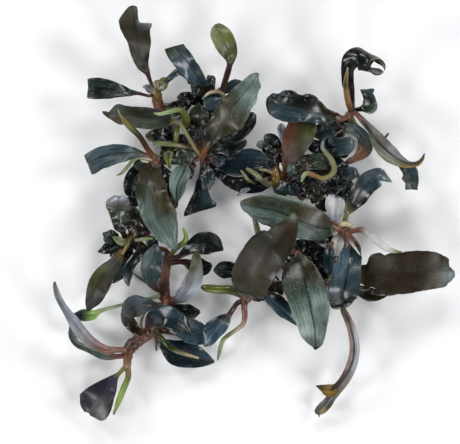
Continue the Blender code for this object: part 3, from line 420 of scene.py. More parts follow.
def settle():  # the trees' results become plain meshes that ride on the body
    kept = {"paint", "spot", "lie", "blade", "midribTone", "dots", "ribs"}
    scene = bpy.context.evaluated_depsgraph_get()
    results = [bpy.data.meshes.new_from_object(piece.evaluated_get(scene), preserve_all_data_layers=True,
                                               depsgraph=scene) for piece, _, _ in guides]
    for (piece, nodes, finish), mesh in zip(guides, results):
        piece.modifiers.clear()
        guide = piece.data
        piece.data = mesh
        bpy.data.meshes.remove(guide)
        for attribute in [a.name for a in mesh.attributes if a.domain == "POINT"]:
            if attribute not in kept and attribute != "position" and not attribute.startswith("."):
                mesh.attributes.remove(mesh.attributes[attribute])
        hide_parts(*nodes)
        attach(piece, "root")
    print("settled", len(results), "pieces,",
        sum(len(m.loop_triangles) or len(m.polygons) for m in results), "faces")


# x, y, z, left reach, right reach from base to tip, in millimetres; paint: stalk, then blade from base to tip
plants = {
    "northwest": dict(
        crown=(-29.4, 36.2, 5.4),
        stem=[(-24.5, 22, 1, 1.3), (-27, 28, 1.3, 1.6), (-28.5, 33, 3, 1.6), (-29, 36, 5.2, 1.5),
            (-29.2, 37.4, 6, 0.7)],
        bark=["rust", "redBrown", "orangeBrown", "golden", "cream"],
        leaves=[
            dict(finish="leafOlive", paint=["redBrown", "oliveDark", "olive", "oliveDark",
                "olive/blackGreen", "umber", "umber"],
                 roll=[0, 4, 8], fold=8, ribs=0.1, marks=[(0.8, 1, 0.045, 0.5, "lilac", 0.9)], at=[
                (-29.9, 37.6, 6.8, 0.6, 0.6), (-30.9, 39.9, 8.2, 0.6, 0.6), (-31.7, 42, 10, 0.9, 0.9),
                (-33, 44.7, 12, 2.2, 1.9),
                (-33.9, 48.3, 14.2, 2.9, 3.1), (-34.5, 51.3, 15.6, 3.1, 4), (-35.1, 54, 16.2, 3.9, 4.6),
                (-35.4, 55.7, 16.4, 4.4, 5.2),
                (-35.6, 56.6, 16.4, 4.5, 2.2), (-35.7, 58.2, 16.2, 4.3, 1.3), (-35.9, 60.3, 15.8, 2.8, 1.4),
                (-36, 61.7, 15.4, 1.2, 1.2),
                (-36, 62.1, 15.2, 0.3, 0.3)]),
            dict(finish="leafDark", paint=["redBrown", "teal", "teal", "teal", "greyGreen"],
                roll=[0, -6, 4], bow=0.2, skew=-0.6,
                 midrib=-0.6, ribs=0.4, at=[
                (-30.9, 35.1, 5.8, 0.5, 0.5), (-34.5, 35.9, 8, 0.6, 0.6), (-36.9, 36.2, 9.2, 1.2, 1),
                (-39.3, 36.6, 10.4, 2, 1.8),
                (-42.9, 37.1, 11.4, 2.9, 2.7), (-46.5, 37.4, 11.6, 3.5, 3.2), (-48.6, 37.5, 11.2, 3.2, 2.9),
                (-49.4, 37.4, 11, 2.7, 2.6)]),
        ],
        small=[
            dict(paint=["slate", "slate", "teal", "teal"], at=[
                (-27.8, 37.5, 5.5, 0.8, 0.8), (-25.2, 40.2, 9, 0.9, 0.9), (-22.2, 42.4, 10.5, 1.1, 1.2),
                (-19.8, 41.2, 10, 0.8, 1.1),
                (-18.8, 38.7, 8, 0.4, 0.4)]),
            dict(paint=["orangeBrown", "ink", "teal"], wave=0.8, at=[
                (-28, 32, 3, 0.8, 0.8), (-24.6, 31.6, 5.4, 1.5, 1.5), (-21.2, 32.2, 6, 2, 2),
                (-18.8, 32.4, 5.6, 0.5, 0.5)]),
            dict(paint=["redBrown", "tan", "olive"], at=[
                (-26, 25.5, 2.4, 0.8, 0.8), (-28.2, 23.8, 6, 1.7, 1.7), (-30.6, 23, 6.8, 1.8, 1.8),
                (-32.2, 23, 6.5, 0.4, 0.4)]),
            dict(paint=["yellowGreen", "yellowGreen", "yellowGreen"], at=[
                (-29, 36.6, 6, 0.9, 0.9), (-27.6, 38.1, 8, 1.6, 1.7), (-26.3, 39.2, 8.8, 1.7, 1.6),
                (-25.2, 39.4, 8.4, 0.6, 0.6)]),
            dict(paint=["cream", "mauve", "lilac"], at=[
                (-29.4, 36.4, 6, 0.9, 0.9), (-30.8, 37.2, 7.4, 1.4, 1.2), (-32, 37.8, 7.8, 1, 0.9),
                (-32.8, 37.6, 7.2, 0.3, 0.3)]),
            dict(paint=["cream", "cream", "tan"], at=[
                (-29.4, 37, 6, 0.8, 0.8), (-29, 38.6, 8, 1, 1), (-28.9, 39.8, 8.6, 0.5, 0.5)]),
            dict(paint=["slate", "ink", "teal"], wave=0.8, at=[
                (-19, 32.8, 3.8, 0.8, 0.8), (-21.4, 31.2, 6.4, 1.7, 1.8), (-24, 30.6, 7, 1.5, 1.5),
                (-26, 31.4, 6.4, 0.4, 0.4)]),
        ],
        roots=[[(-26, 26, 1.4, 0.5), (-22, 28.5, 0.5, 0.4), (-18.5, 32.5, 0.4, 0.2)]],
    ),
    "north": dict(
        crown=(-10.4, 36, 4.4),
        stem=[(-12.8, 22.5, 1, 1.3), (-12.4, 28, 1.3, 1.6), (-11, 33, 2.4, 1.6), (-10, 36, 4.2, 1.5),
            (-9.7, 37.4, 4.9, 0.7)],
        bark=["rust", "redBrown", "rust", "orangeBrown", "pinkBrown"],
        leaves=[
            dict(finish="leafDark", paint=["redBrown", "slate", "steel/slate", "steel/slate",
                "greyGreen/slate", "olive/greyGreen"],
                 fold=10, skew=-1.1, ribs=0.6, marks=[(0.5, 0.35, 0.035, 0.18, "tan", 0.8)], at=[
                (-13.8, 36.9, 6.6, 1, 1), (-15, 38.7, 8.6, 1.6, 1.2), (-17.1, 41.4, 12, 3, 2.2),
                (-19.2, 44.1, 14.6, 3.3, 2.6),
                (-21.2, 47, 16.2, 3.7, 2.6), (-22.8, 49.2, 16.8, 3.5, 2.5), (-23.4, 50, 16.9, 3.1, 2.5)]),
            dict(finish="leafYoung", paint=["redBrown", "oliveGreen", "oliveGreen", "sage/yellowGreen",
                "sage/yellowGreen", "sage/oliveGreen", "sage"],
                 roll=[0, 0, -8], fold=20, midrib=-0.1, at=[
                (-9.3, 36.3, 5, 0.9, 0.9), (-8.7, 38.4, 7.6, 0.9, 0.9), (-7.7, 41.7, 10.6, 0.95, 0.95),
                (-6.9, 44.7, 13.4, 1, 1),
                (-6.9, 47.1, 15.4, 2, 2.3), (-7.8, 49.5, 17, 3.3, 3.2), (-9, 51.9, 18, 3.3, 3.6),
                (-10.4, 54, 18.2, 2.8, 3.2),
                (-11.4, 55.4, 18, 1.6, 2.2), (-11.9, 55.9, 17.8, 0.6, 0.9)]),
            dict(finish="leafSilver", paint=["cream", "slate", "steel", "slate"], fold=2, curl=[0.12, 0.12],
                ribs=-0.3, at=[
                (-11.9, 36.2, 6.6, 0.7, 0.7), (-12, 35.4, 8, 2.4, 2.3), (-12, 33.3, 8.8, 3.1, 2.9),
                (-11.9, 31.6, 8.6, 2.3, 2.2),
                (-11.8, 30.7, 8, 0.7, 0.7)]),
        ],
        small=[
            dict(paint=["redBrown", "teal", "slate"], at=[
                (-12, 36, 5.6, 0.8, 0.8), (-12.5, 38, 8, 1.2, 1.1), (-12.6, 40.2, 9, 1.5, 1.5),
                (-12.6, 41.2, 8.8, 0.9, 0.9)]),
            dict(paint=["redBrown", "slate", "teal"], at=[
                (-10, 36, 4.4, 0.8, 0.8), (-6.6, 37.8, 6.6, 1.7, 1.7), (-4.6, 38.8, 7, 1.5, 1.5),
                (-3.4, 39.5, 6.8, 0.4, 0.4)]),
            dict(paint=["redBrown", "blackGreen", "teal", "greyGreen"], at=[
                (-12.6, 35.4, 6, 0.8, 0.8), (-14.8, 36.6, 8, 2, 1.9), (-16.6, 37.6, 9, 2.5, 2.2),
                (-17.9, 38.5, 8.6, 1.2, 1.2),
                (-18.3, 38.8, 8.2, 0.3, 0.3)]),
            dict(paint=["redBrown", "ink", "ink"], wave=0.9, waves=3.5, at=[
                (-12.6, 33.6, 4, 0.8, 0.8), (-15.6, 33.6, 5.6, 1.6, 1.7), (-18.6, 34.4, 6.4, 2, 1.9),
                (-21.4, 34.8, 6, 1.4, 1.3),
                (-22.8, 34.4, 5.6, 0.3, 0.3)]),
        ],
        shoots=[dict(paint=["cream", "cream", "tan"], at=[
            (-15, 34.2, 8.4, 0.25), (-13.4, 35.8, 9.2, 0.5), (-11.1, 36.4, 9.2, 0.55),
            (-9.2, 35.8, 8.6, 0.45),
            (-8.2, 34.8, 7.6, 0.3)])],
        roots=[[(-12.4, 26, 1.4, 0.5), (-8.5, 27.5, 0.5, 0.4), (-5, 31, 0.4, 0.2)]],
    ),
    "inner": dict(
        crown=(-15.2, 17, 5.6),
        stem=[(-18.2, 25.6, 1, 1.2), (-17.2, 22, 1.1, 1.4), (-16, 19, 2.8, 1.5), (-15.2, 17.4, 5, 1.5),
            (-15, 16.6, 6.4, 0.9)],
        bark=["redBrown", "redBrown", "orangeBrown", "orangeBrown", "cream"],
        leaves=[
            dict(finish="leafSilver", paint=["orangeBrown", "oliveDark", "olive", "umber", "umber/silver",
                "silver/paleSilver",
                 "silver", "paleSilver", "umber"], roll=[0, 6, 0], fold=10, dots=0.5, wave=0.8, waves=3.2,
                     at=[
                (-14.7, 18.3, 7.6, 0.9, 0.9), (-12.9, 21.3, 10.4, 1.4, 1.3), (-11.1, 24.3, 12.6, 3.2, 3.2),
                (-8.7, 27.9, 15, 3.9, 5.3),
                (-6.3, 31.2, 16.6, 4.3, 5.7), (-4.2, 34, 17.4, 3.6, 4.6), (-2.7, 36, 17.6, 3.2, 4.8),
                (-1.2, 37.8, 17.4, 2.8, 3.3),
                (0, 39.5, 17.2, 2.2, 3), (0.9, 40.8, 16.8, 1.5, 1.2), (1.5, 41.8, 16.4, 0.5, 0.5)]),
            dict(finish="leafDark", paint=["redBrown", "ink", "navy", "blue/navy", "navy"], fold=4,
                curl=[0, -0.06], ribs=0.3, at=[
                (-12.3, 16, 6, 0.8, 0.8), (-9.9, 15.6, 7, 2, 2.4), (-5.4, 15.4, 7.6, 3.2, 4.6),
                (-0.6, 15.8, 7.6, 3.6, 4.2),
                (3, 15.6, 6.8, 2.4, 2.8), (5.4, 14.8, 6.2, 0.5, 0.5)]),
            dict(finish="leafOlive", paint=["tan", "olive/ink", "greyGreen/ink", "greyGreen/oliveDark",
                "umber/greyGreen",
                 "umber/greyGreen", "olive", "ink"], fold=10, ribs=0.7, wave=0.6, waves=3.4, at=[
                (-16.9, 18.6, 7.6, 0.6, 0.6), (-19.2, 22.4, 10.4, 0.65, 0.65),
                (-22, 26.9, 12.8, 0.65, 0.65), (-23.7, 27.6, 13, 0.9, 0.9),
                (-24.9, 27.9, 13.2, 1.9, 1.5), (-27.9, 28.2, 13.4, 3, 2.4), (-30.9, 28.5, 13.4, 3.6, 3.1),
                (-34.5, 29, 13.2, 3.6, 2.9),
                (-37.8, 29.4, 12.8, 3.2, 2.7), (-40.5, 29.7, 12.2, 3, 3), (-42.3, 29.7, 11.6, 1.9, 1.5),
                (-43.5, 29.7, 11, 1, 0.6),
                (-44.6, 30.1, 10.6, 0.5, 0.7), (-44.9, 30.5, 10.4, 0.3, 0.3)]),
            dict(finish="leafSilver", paint=["redBrown", "silver", "silver/paleSilver", "silver"],
                midrib=-0.8, ribs=0.6, fold=8, at=[
                (-19.5, 15, 7, 0.8, 0.8), (-20.7, 12.6, 8, 2.4, 2.6), (-22, 9.9, 8.8, 2.4, 3.1),
                (-22.8, 7.5, 8.8, 2.7, 2.4),
                (-23, 5.1, 8.4, 1.7, 1.2), (-22.9, 3.2, 8, 0.3, 0.3)]),
            dict(finish="leafDark", paint=["redBrown", "blackGreen", "slate/ink", "ink"], skew=1.6,
                curl=[0, -0.05], at=[
                (-15, 14.4, 4.6, 0.8, 0.8), (-15.3, 10.5, 5.2, 1.3, 1.3), (-15.5, 8.1, 5.8, 1.6, 1.8),
                (-15.6, 5.7, 6.2, 2.6, 2.4),
                (-15.8, 3.3, 6.3, 4.2, 3.6), (-15.9, 1.5, 6.1, 5.1, 4.8), (-15.9, 0.5, 5.8, 4.9, 4.9)]),
            dict(finish="leafDark", paint=["redBrown", "ink", "ink", "ink"], at=[
                (-12.6, 22, 5.6, 0.8, 0.8), (-8.4, 22.4, 7.8, 1.4, 1.4), (-4.5, 23.9, 9.4, 2.1, 2.2),
                (-1.8, 26.7, 9.6, 2.7, 2.4),
                (-0.3, 29.3, 9, 1.5, 1.5), (-0.1, 30.2, 8.8, 0.4, 0.4)]),
        ],
        spear=dict(paint=["oliveGreen", "yellowGreen", "yellowGreen", "paleGreen", "paleGreen"], at=[
            (-20.4, 25.2, 3.2, 0.8), (-20, 27.6, 9, 1.2), (-20.4, 29.4, 13, 1.1), (-22, 30.9, 15.6, 0.8),
            (-25.2, 30.2, 16.6, 0.7),
            (-27.9, 29.6, 16.8, 0.5), (-29.7, 29.9, 16.9, 0.15)]),
        small=[
            dict(paint=["redBrown", "blackGreen", "blackGreen", "greyGreen"], at=[
                (-14, 18.6, 5, 0.9, 0.9), (-11.4, 19, 6.6, 2, 1.8), (-8.4, 19.6, 7.8, 3, 2.8),
                (-5.4, 20.3, 8, 3.1, 2.7),
                (-3, 21.4, 7.4, 1.7, 1.5), (-2.2, 22, 7, 0.3, 0.3)]),
            dict(paint=["redBrown", "olive", "greyGreen", "olive"], at=[
                (-17.8, 25, 3, 0.8, 0.8), (-17, 27.4, 6.4, 2.4, 2.4), (-16.2, 29.8, 8, 3, 3.2),
                (-15.6, 31.8, 8, 1.6, 1.8),
                (-15.4, 32.4, 7.6, 0.4, 0.4)]),
            dict(paint=["redBrown", "greyGreen", "teal", "teal"], at=[
                (-17, 17.4, 6, 0.8, 0.8), (-19.2, 17, 7.6, 2.2, 2.1), (-21.6, 16.5, 8, 2.4, 2.3),
                (-23.4, 15.6, 7.4, 1.3, 1.3),
                (-24.2, 15.2, 7, 0.3, 0.3)]),
        ],
        fill=[
            (-13.4, 16.6, 6.4, -18, 5.6, 1.7, "navy", "slate"), (-14, 15.6, 6.4, -85, 8.6, 2.2, "ink",
            "slate"),
            (-12.8, 14.4, 5, -30, 7, 2.4, "ink", "ink"), (-16.4, 21, 5.4, 120, 6.4, 2, "blackGreen", "teal"),
            (-14, 22.4, 5.6, 80, 6, 2, "ink", "teal"), (-18.4, 20, 5.4, 150, 6, 1.9, "ink", "olive"),
            (-17.6, 14.6, 5.4, 235, 6, 1.8, "ink", "blackGreen"), (-11.6, 26, 6, 100, 5, 1.9, "blackGreen",
            "teal"),
            (-15, 26.6, 5.4, 60, 5.6, 1.9, "ink", "blackGreen"), (-7, 13, 4.6, -50, 5.6, 2, "ink", "ink"),
        ],
        shoots=[
            dict(paint=["tan", "tan", "sage", "sage"], at=[
                (-17.4, 18.6, 5, 0.7), (-21.9, 20.2, 7.6, 0.75), (-25.5, 20.7, 8.8, 0.8),
                (-28.8, 20.9, 9.2, 0.8), (-30.1, 20.8, 9.2, 0.55)]),
            dict(paint=["oliveGreen", "yellowGreen", "oliveGreen"], at=[
                (-23.4, 19.4, 6, 0.6), (-23, 23, 8.6, 0.9), (-22.4, 26.4, 9.6, 0.5)]),
        ],
        roots=[[(-17, 21.5, 1.4, 0.5), (-21, 20, 0.5, 0.4), (-24.6, 16.5, 0.4, 0.2)],
               [(-16.4, 20, 1.4, 0.5), (-12, 17.6, 0.5, 0.4), (-9, 13.2, 0.4, 0.2)]],
    ),
    "west": dict(
        crown=(-29.4, 16.4, 6),
        stem=[(-32, 2, 1, 1.3), (-31.4, 7, 1.2, 1.5), (-30.4, 12, 2.6, 1.6), (-29.5, 15.6, 4.8, 1.7),
            (-29.2, 17, 6.4, 1.3)],
        bark=["rust", "redBrown", "orangeBrown", "orangeBrown", "cream"],
        leaves=[
            dict(finish="leafSilver", paint=["pinkBrown", "olive", "umber/olive", "umber/greyGreen",
                "umber/silver", "silver",
                 "silver/paleSilver", "steel"], roll=[0, -4, 0], fold=8, wave=0.7, waves=3.2, ribs=0.3, at=[
                (-29.3, 14.6, 7.8, 0.9, 0.9), (-29.4, 13.8, 8.6, 1.5, 2.5), (-30, 11.7, 10.6, 3.4, 3.7),
                (-30.5, 9, 12.6, 4.8, 4.5),
                (-30.5, 6, 13.8, 4.8, 4.7), (-29.7, 3, 14.8, 4.9, 4.9), (-28.5, 0, 15.4, 5.3, 5.2),
                (-27.3, -2.7, 15.4, 5, 4.6),
                (-25.8, -5.7, 15, 3.8, 3.9), (-24.6, -7.8, 14.4, 2.5, 2.6), (-23.6, -9.6, 13.4, 1.2, 1.5),
                (-22.8, -11.1, 12.6, 0.2, 0.2)]),
            dict(finish="leafSilver", paint=["pinkBrown", "slate", "slate", "silver/slate", "slate/steel",
                "slate", "teal"], fold=10,
                 skew=-0.6, midrib=-0.8, ribs=0.8, at=[
                (-32.2, 17.4, 7.4, 0.7, 0.7), (-34.5, 17.9, 9.2, 1.3, 1.3), (-37.5, 18, 10.6, 2.4, 2.2),
                (-40.5, 17.9, 11.4, 3.1, 2.8),
                (-43.5, 17.4, 11.8, 3.6, 3), (-46.5, 16.5, 11.6, 3.8, 2.9), (-48.6, 15.3, 11, 3.7, 2.9),
                (-49.5, 14.7, 10.6, 3.3, 2.8)]),
        ],
        spear=dict(paint=["cream", "orangeBrown", "redBrown", "oliveBrown", "yellowGreen", "golden", "sage",
            "paleGreen"], at=[
            (-30.3, 17.4, 7, 0.9), (-31.8, 19.5, 10, 0.85), (-33.9, 22.8, 13.6, 0.85),
            (-36, 25, 15.6, 0.95), (-37.8, 26.7, 16.8, 0.9),
            (-39, 28.2, 17.4, 0.5), (-39.9, 29.6, 17.8, 0.3), (-40.4, 31, 18, 0.12)]),
        small=[
            dict(paint=["orangeBrown", "blackGreen", "teal", "ink"], wave=0.9, waves=3.6, at=[
                (-31, 14, 4, 0.8, 0.8), (-33.8, 13.5, 6, 2, 1.8), (-35.8, 10.8, 7, 2.5, 2.4),
                (-36.6, 7.4, 7, 2.8, 2.3),
                (-36, 4.6, 6, 0.8, 0.8)]),
            dict(paint=["orangeBrown", "slate", "ink"], at=[
                (-29.6, 15, 4.6, 0.8, 0.8), (-26, 16.2, 5.8, 1.8, 1.8), (-22.8, 16.6, 5.6, 2.2, 2),
                (-20.6, 16.8, 4.8, 0.5, 0.5)]),
            dict(paint=["oliveGreen", "oliveGreen", "yellowGreen", "yellowGreen"], at=[
                (-24.4, 19.4, 6, 0.8, 0.8), (-25.4, 17.4, 8, 1.7, 1.5), (-25.2, 15, 8, 0.8, 0.8),
                (-24.8, 13.3, 7.4, 0.3, 0.3)]),
            dict(paint=["redBrown", "ink", "ink"], at=[
                (-23.6, 21.6, 4, 0.8, 0.8), (-25.2, 22.8, 6, 1.9, 1.9), (-27.6, 23.4, 7.4, 2.5, 2.3),
                (-29.4, 23.7, 7.4, 2, 1.8),
                (-30.4, 23.7, 7, 0.5, 0.5)]),
        ],
        fill=[
            (-33, 9.6, 4, 200, 6, 2, "ink", "blackGreen"), (-32.6, 5.4, 4, 210, 6.4, 2, "blackGreen", "teal"),
            (-27.4, 14, 5, -60, 7, 2, "ink", "teal"), (-25.6, 12, 4.6, -80, 7, 1.9, "ink", "ink"),
            (-27.4, 17.6, 4.4, 60, 5.4, 1.8, "ink", "olive"), (-25.4, 7.4, 4.6, -75, 7, 1.8, "ink", "olive"),
            (-33.6, 12.4, 6.4, 110, 4, 1.5, "teal", "ink"),
        ],
        shoots=[dict(paint=["cream", "sage", "paleGreen", "sage", "paleGreen"], at=[
            (-30.4, 15.9, 6.4, 0.6), (-33.9, 16.6, 8, 0.6), (-36, 15.7, 8.4, 0.55), (-38, 13.4, 8, 0.55),
            (-39.6, 11.8, 7, 0.4),
            (-40.9, 11.3, 6.4, 0.2)])],
        roots=[[(-31.4, 7, 1.2, 0.5), (-26.6, 8.4, 0.5, 0.4), (-22, 6, 0.4, 0.2)]],
    ),
    "farwest": dict(
        crown=(-38.2, -7.6, 5),
        stem=[(-29, -3.4, 1, 1.3), (-32.5, -5.6, 1.2, 1.5), (-36, -7.4, 2.6, 1.6), (-38.2, -8, 4.8, 1.5),
            (-38.8, -8.2, 5.4, 0.8)],
        bark=["rust", "redBrown", "oliveBrown", "golden", "tan"],
        leaves=[
            dict(finish="leafOlive", paint=["golden", "olive", "olive/oliveGreen", "oliveDark", "ink"],
                roll=[0, 8, 0], fold=12, at=[
                (-39.4, -11.2, 6.4, 0.8, 0.8), (-40.6, -14.2, 9.2, 1.9, 1.9), (-44, -18, 11.5, 3, 2.9),
                (-46.8, -21.9, 12, 4, 2.9),
                (-48.6, -26.4, 10.6, 2.8, 1.7), (-49.3, -29.4, 9.2, 0.3, 0.3)]),
            dict(finish="leafDark", paint=["golden", "teal", "slate", "ink"], at=[
                (-37.2, -11.2, 4.4, 0.8, 0.8), (-38.6, -14.6, 5.6, 1.8, 1.8), (-40.4, -18, 6, 2.4, 2.2),
                (-42, -21.1, 5.6, 0.3, 0.3)]),
            dict(finish="leafDark", paint=["oliveBrown", "blackGreen", "greyGreen", "greyGreen", "mauve",
                "lilac", "lilac"], wave=0.7,
                 waves=4, ribs=0.4, at=[
                (-39, -5.7, 7, 0.9, 0.9), (-39.5, -3.9, 8.6, 2.2, 2.2), (-39.9, -1.2, 10, 2.8, 2.9),
                (-40.2, 0.9, 10.8, 3.3, 3.4),
                (-40.4, 2.7, 11, 3.8, 3.7), (-40.4, 4.2, 10.6, 3, 2.9), (-40.3, 5.1, 10, 1.3, 1.3)]),
        ],
        small=[
            dict(paint=["tan", "blackGreen", "ink"], at=[
                (-38.4, -8.4, 4.6, 0.8, 0.8), (-41.8, -9.6, 5.6, 1.8, 1.8), (-44, -10.8, 5.6, 1.6, 1.6),
                (-46.4, -11.7, 5, 0.3, 0.3)]),
            dict(paint=["tan", "olive", "olive/ink", "mauve"], wave=0.8, at=[
                (-37, -7.4, 3.6, 0.8, 0.8), (-35.4, -4.8, 6.4, 2, 2), (-35, -1.8, 8, 2.4, 2.3),
                (-36, 0.6, 7.8, 1.4, 1.4),
                (-36.6, 1.8, 7.2, 0.4, 0.4)]),
            dict(paint=["tan", "slate", "ink"], at=[
                (-36, -7.6, 3, 0.8, 0.8), (-34.6, -9.8, 5, 1.6, 1.6), (-33, -10.4, 5.6, 1.6, 1.6),
                (-31.4, -10.2, 5.4, 0.3, 0.3)]),
            dict(paint=["tan", "sage", "tan"], at=[
                (-37.2, -8.7, 6, 0.8, 0.8), (-39.6, -8.5, 7.6, 1.3, 1.3), (-42, -7.1, 8, 0.3, 0.3)]),
        ],
        fill=[
            (-39.4, -8.4, 5, 160, 6, 2.2, "blackGreen", "greyGreen"), (-37.4, -4.6, 5.6, 60, 6, 1.8,
            "olive", "ink"),
            (-36.4, -9.6, 4.4, 250, 6, 1.8, "ink", "oliveDark"), (-38, -9.4, 5.4, 215, 6, 1.6, "ink", "teal"),
            (-34, -5.4, 4.6, 30, 5.4, 1.8, "ink", "olive"), (-32.6, -6.8, 4.4, -40, 5.4, 1.8, "ink", "teal"),
            (-37.6, -11.4, 4, 275, 6.6, 1.8, "blackGreen", "ink"), (-34, -8, 5, -75, 6, 1.6, "olive", "ink"),
        ],
        shoots=[
            dict(paint=["sage", "paleGreen", "lime"], at=[(-35.4, -8.2, 8, 0.5), (-32.4, -7.8, 9, 0.6),
                (-30, -7.6, 9, 0.3)]),
            dict(paint=["golden", "tan", "golden"], at=[(-36, -6.6, 5, 0.6), (-37.4, -9.4, 8, 0.6),
                (-39.4, -12.4, 8.4, 0.5)]),
        ],
        roots=[[(-33, -6, 1.2, 0.5), (-32.6, -1.6, 0.5, 0.4), (-35.6, 1.2, 0.4, 0.2)],
               [(-34, -6.4, 1.2, 0.5), (-37, -11.4, 0.5, 0.4), (-40.4, -15, 0.4, 0.2)]],
    ),
    "central": dict(
        crown=(-25.8, -27.6, 3.4),
        stem=[(-25.6, -13, 1, 1.3), (-26.4, -18, 1.2, 1.5), (-26.6, -23, 1.6, 1.6),
            (-25.8, -27.6, 3.2, 1.6), (-25.4, -29, 3.8, 0.8)],
        leaves=[
            dict(finish="leafDark", root=(-25.8, -13.4, 2), paint=["redBrown", "teal", "ink", "slate"], at=[
                (-26.2, -11.2, 4, 0.8, 0.8), (-29.8, -10.8, 6.6, 1, 1), (-33.6, -12.2, 9, 1.6, 1.6),
                (-36.6, -15.4, 9.8, 1.6, 1.6),
                (-37.6, -19, 9.6, 1.4, 1.4), (-37.4, -22, 8.6, 0.3, 0.3)]),
            dict(finish="leafSilver", root=(-26.8, -23.2, 2.4), paint=["redBrown", "slate", "silver/teal",
                "steel"], at=[
                (-29, -22.8, 4.6, 0.8, 0.8), (-30.4, -19.6, 9, 2.4, 2.4), (-30.4, -16, 12, 3.4, 3.4),
                (-29.6, -12.4, 12.6, 2.8, 2.8),
                (-29, -9.4, 12, 0.3, 0.3)]),
            dict(finish="leafMauve", paint=["redBrown", "lilac", "mauve/lilac", "oliveGreen", "olive"],
                roll=[0, 20, 20], at=[
                (-23.4, -26.6, 6, 0.8, 0.8), (-21, -24.6, 8.4, 2.4, 2.4), (-18.6, -21.4, 10.6, 3, 3),
                (-17.2, -17, 11.6, 2.4, 2.4),
                (-17, -13.4, 11.2, 1.4, 1.4), (-17.3, -11.3, 10.6, 0.3, 0.3)]),
            dict(finish="leafDark", root=(-25.4, -13.8, 2), paint=["redBrown", "ink", "blackGreen", "ink"],
                at=[
                (-22.2, -13, 5, 0.8, 0.8), (-19.4, -11, 6.6, 1.7, 1.7), (-15.6, -9.2, 8.2, 3.4, 3.3),
                (-12, -9.4, 8.8, 3.2, 3.1),
                (-8.9, -11.1, 8.4, 0.3, 0.3)]),
            dict(finish="leafOlive", paint=["redBrown", "slate", "brown/slate", "olive"], at=[
                (-28.9, -27.6, 4.8, 0.8, 0.8), (-32, -27.4, 7.6, 2.2, 2.2), (-35.4, -28, 9.2, 3.4, 3.4),
                (-37.8, -29.8, 9, 2.2, 2.2),
                (-39.1, -31.5, 8.2, 0.3, 0.3)]),
            dict(finish="leafDark", root=(-26.6, -24.8, 2), paint=["paleGreen", "lime", "teal", "teal",
                "ink"], at=[
                (-29.2, -25.2, 3, 0.5, 0.5), (-33.6, -26.2, 5, 0.5, 0.5), (-38.7, -27.4, 6, 0.5, 0.5),
                (-45.4, -29.2, 6.4, 0.7, 0.7),
                (-48, -30.6, 6.6, 1.4, 1.6), (-51.2, -30.6, 6.6, 1.8, 1.8), (-54, -30.4, 6.2, 0.3, 0.3)]),
        ],
        small=[
            dict(paint=["redBrown", "ink", "teal"], at=[
                (-26, -27.4, 3, 0.8, 0.8), (-22, -29.2, 4.8, 2, 2), (-18.8, -29.8, 5.2, 2.4, 2.4),
                (-15.8, -29.6, 4.8, 0.5, 0.5)]),
            dict(paint=["redBrown", "ink", "ink"], at=[
                (-26, -15.4, 1.8, 0.8, 0.8), (-21.2, -14.6, 3.6, 0.9, 0.9), (-17.8, -16, 4.6, 2, 2),
                (-14.6, -16.2, 5.2, 2.6, 2.6),
                (-12.4, -15.4, 5, 0.5, 0.5)]),
        ],
        shoots=[dict(paint=["redBrown", "yellowGreen", "lime"], at=[
            (-25.8, -14, 1.6, 0.8), (-23.4, -11, 5, 0.8), (-20.2, -8, 8.4, 0.8), (-20.8, -4.4, 9.6, 0.3)])],
        roots=[[(-26, -16, 1.4, 0.5), (-29.6, -12.6, 0.5, 0.4), (-29, -8, 0.4, 0.2)],
               [(-26.6, -22, 1.4, 0.5), (-31.6, -21, 0.5, 0.4), (-36, -18, 0.4, 0.2)],
               [(-26.4, -26, 1.4, 0.5), (-21.6, -24.6, 0.5, 0.4), (-18.4, -20.6, 0.4, 0.2)]],
    ),
    "southwest": dict(
        crown=(-37.7, -45.6, 4.8),
        stem=[(-25.4, -33, 1.1, 1.4), (-29, -34.8, 1.5, 1.8), (-33, -37.2, 2.4, 1.9),
            (-36.8, -40.2, 4, 1.9), (-37.6, -43.6, 4.6, 1.3),
              (-37.8, -46, 4.8, 1.1), (-37.9, -47, 4.9, 0.7)],
        leaves=[
            dict(finish="leafDark", root=(-31.4, -36, 3), paint=["redBrown", "navy", "blue/navy", "navy",
                "ink"], at=[
                (-31.6, -33.8, 5, 0.8, 0.8), (-29.8, -32, 9, 2.6, 2.6), (-26.8, -31, 12.4, 3.6, 3.2),
                (-23, -32.2, 13.4, 3.2, 3.2),
                (-20.3, -34.6, 12.2, 1.8, 1.8), (-18.9, -36.6, 10.8, 0.3, 0.3)]),
            dict(finish="leafMauve", root=(-37.4, -41, 4.4), paint=["pinkBrown", "pinkBrown", "lilac",
                "mauve/lilac", "mauve"],
                 roll=[0, 25, 15], fold=14, at=[
                (-40.4, -41, 6.2, 0.9, 0.9), (-44.6, -40.8, 9, 1.3, 1.3), (-49.4, -38, 12, 2.1, 2.1),
                (-54, -32.4, 14, 1.8, 1.8),
                (-57.7, -26.4, 14, 1.2, 1.2), (-59.1, -22.8, 12.6, 0.7, 0.7),
                (-59.5, -20.6, 11.8, 0.3, 0.3)]),
            dict(finish="leafSilver", root=(-37.6, -42.6, 4), paint=["pinkBrown", "silver",
                "greyGreen/silver", "silver"], fold=14, at=[
                (-40.6, -43, 4.2, 0.8, 0.8), (-44.4, -42.6, 5.2, 1.6, 1.2), (-48.9, -40.8, 6, 1.3, 1.2),
                (-52.6, -39.2, 6.6, 1.1, 1.1),
                (-54.3, -36.6, 7.4, 1.1, 1.1), (-54.6, -33.6, 8, 0.4, 0.4)]),
            dict(finish="leafMauve", paint=["yellowGreen", "plum", "plum", "mauve/plum", "plum"], fold=12,
                midrib=1.2, bow=0.6, at=[
                (-39.9, -47.8, 5.4, 0.6, 0.6), (-41.4, -49.4, 6.4, 1.2, 1.2), (-43.7, -52.5, 7.2, 3.2, 3.5),
                (-45.7, -55.3, 6.8, 4.6, 5.2),
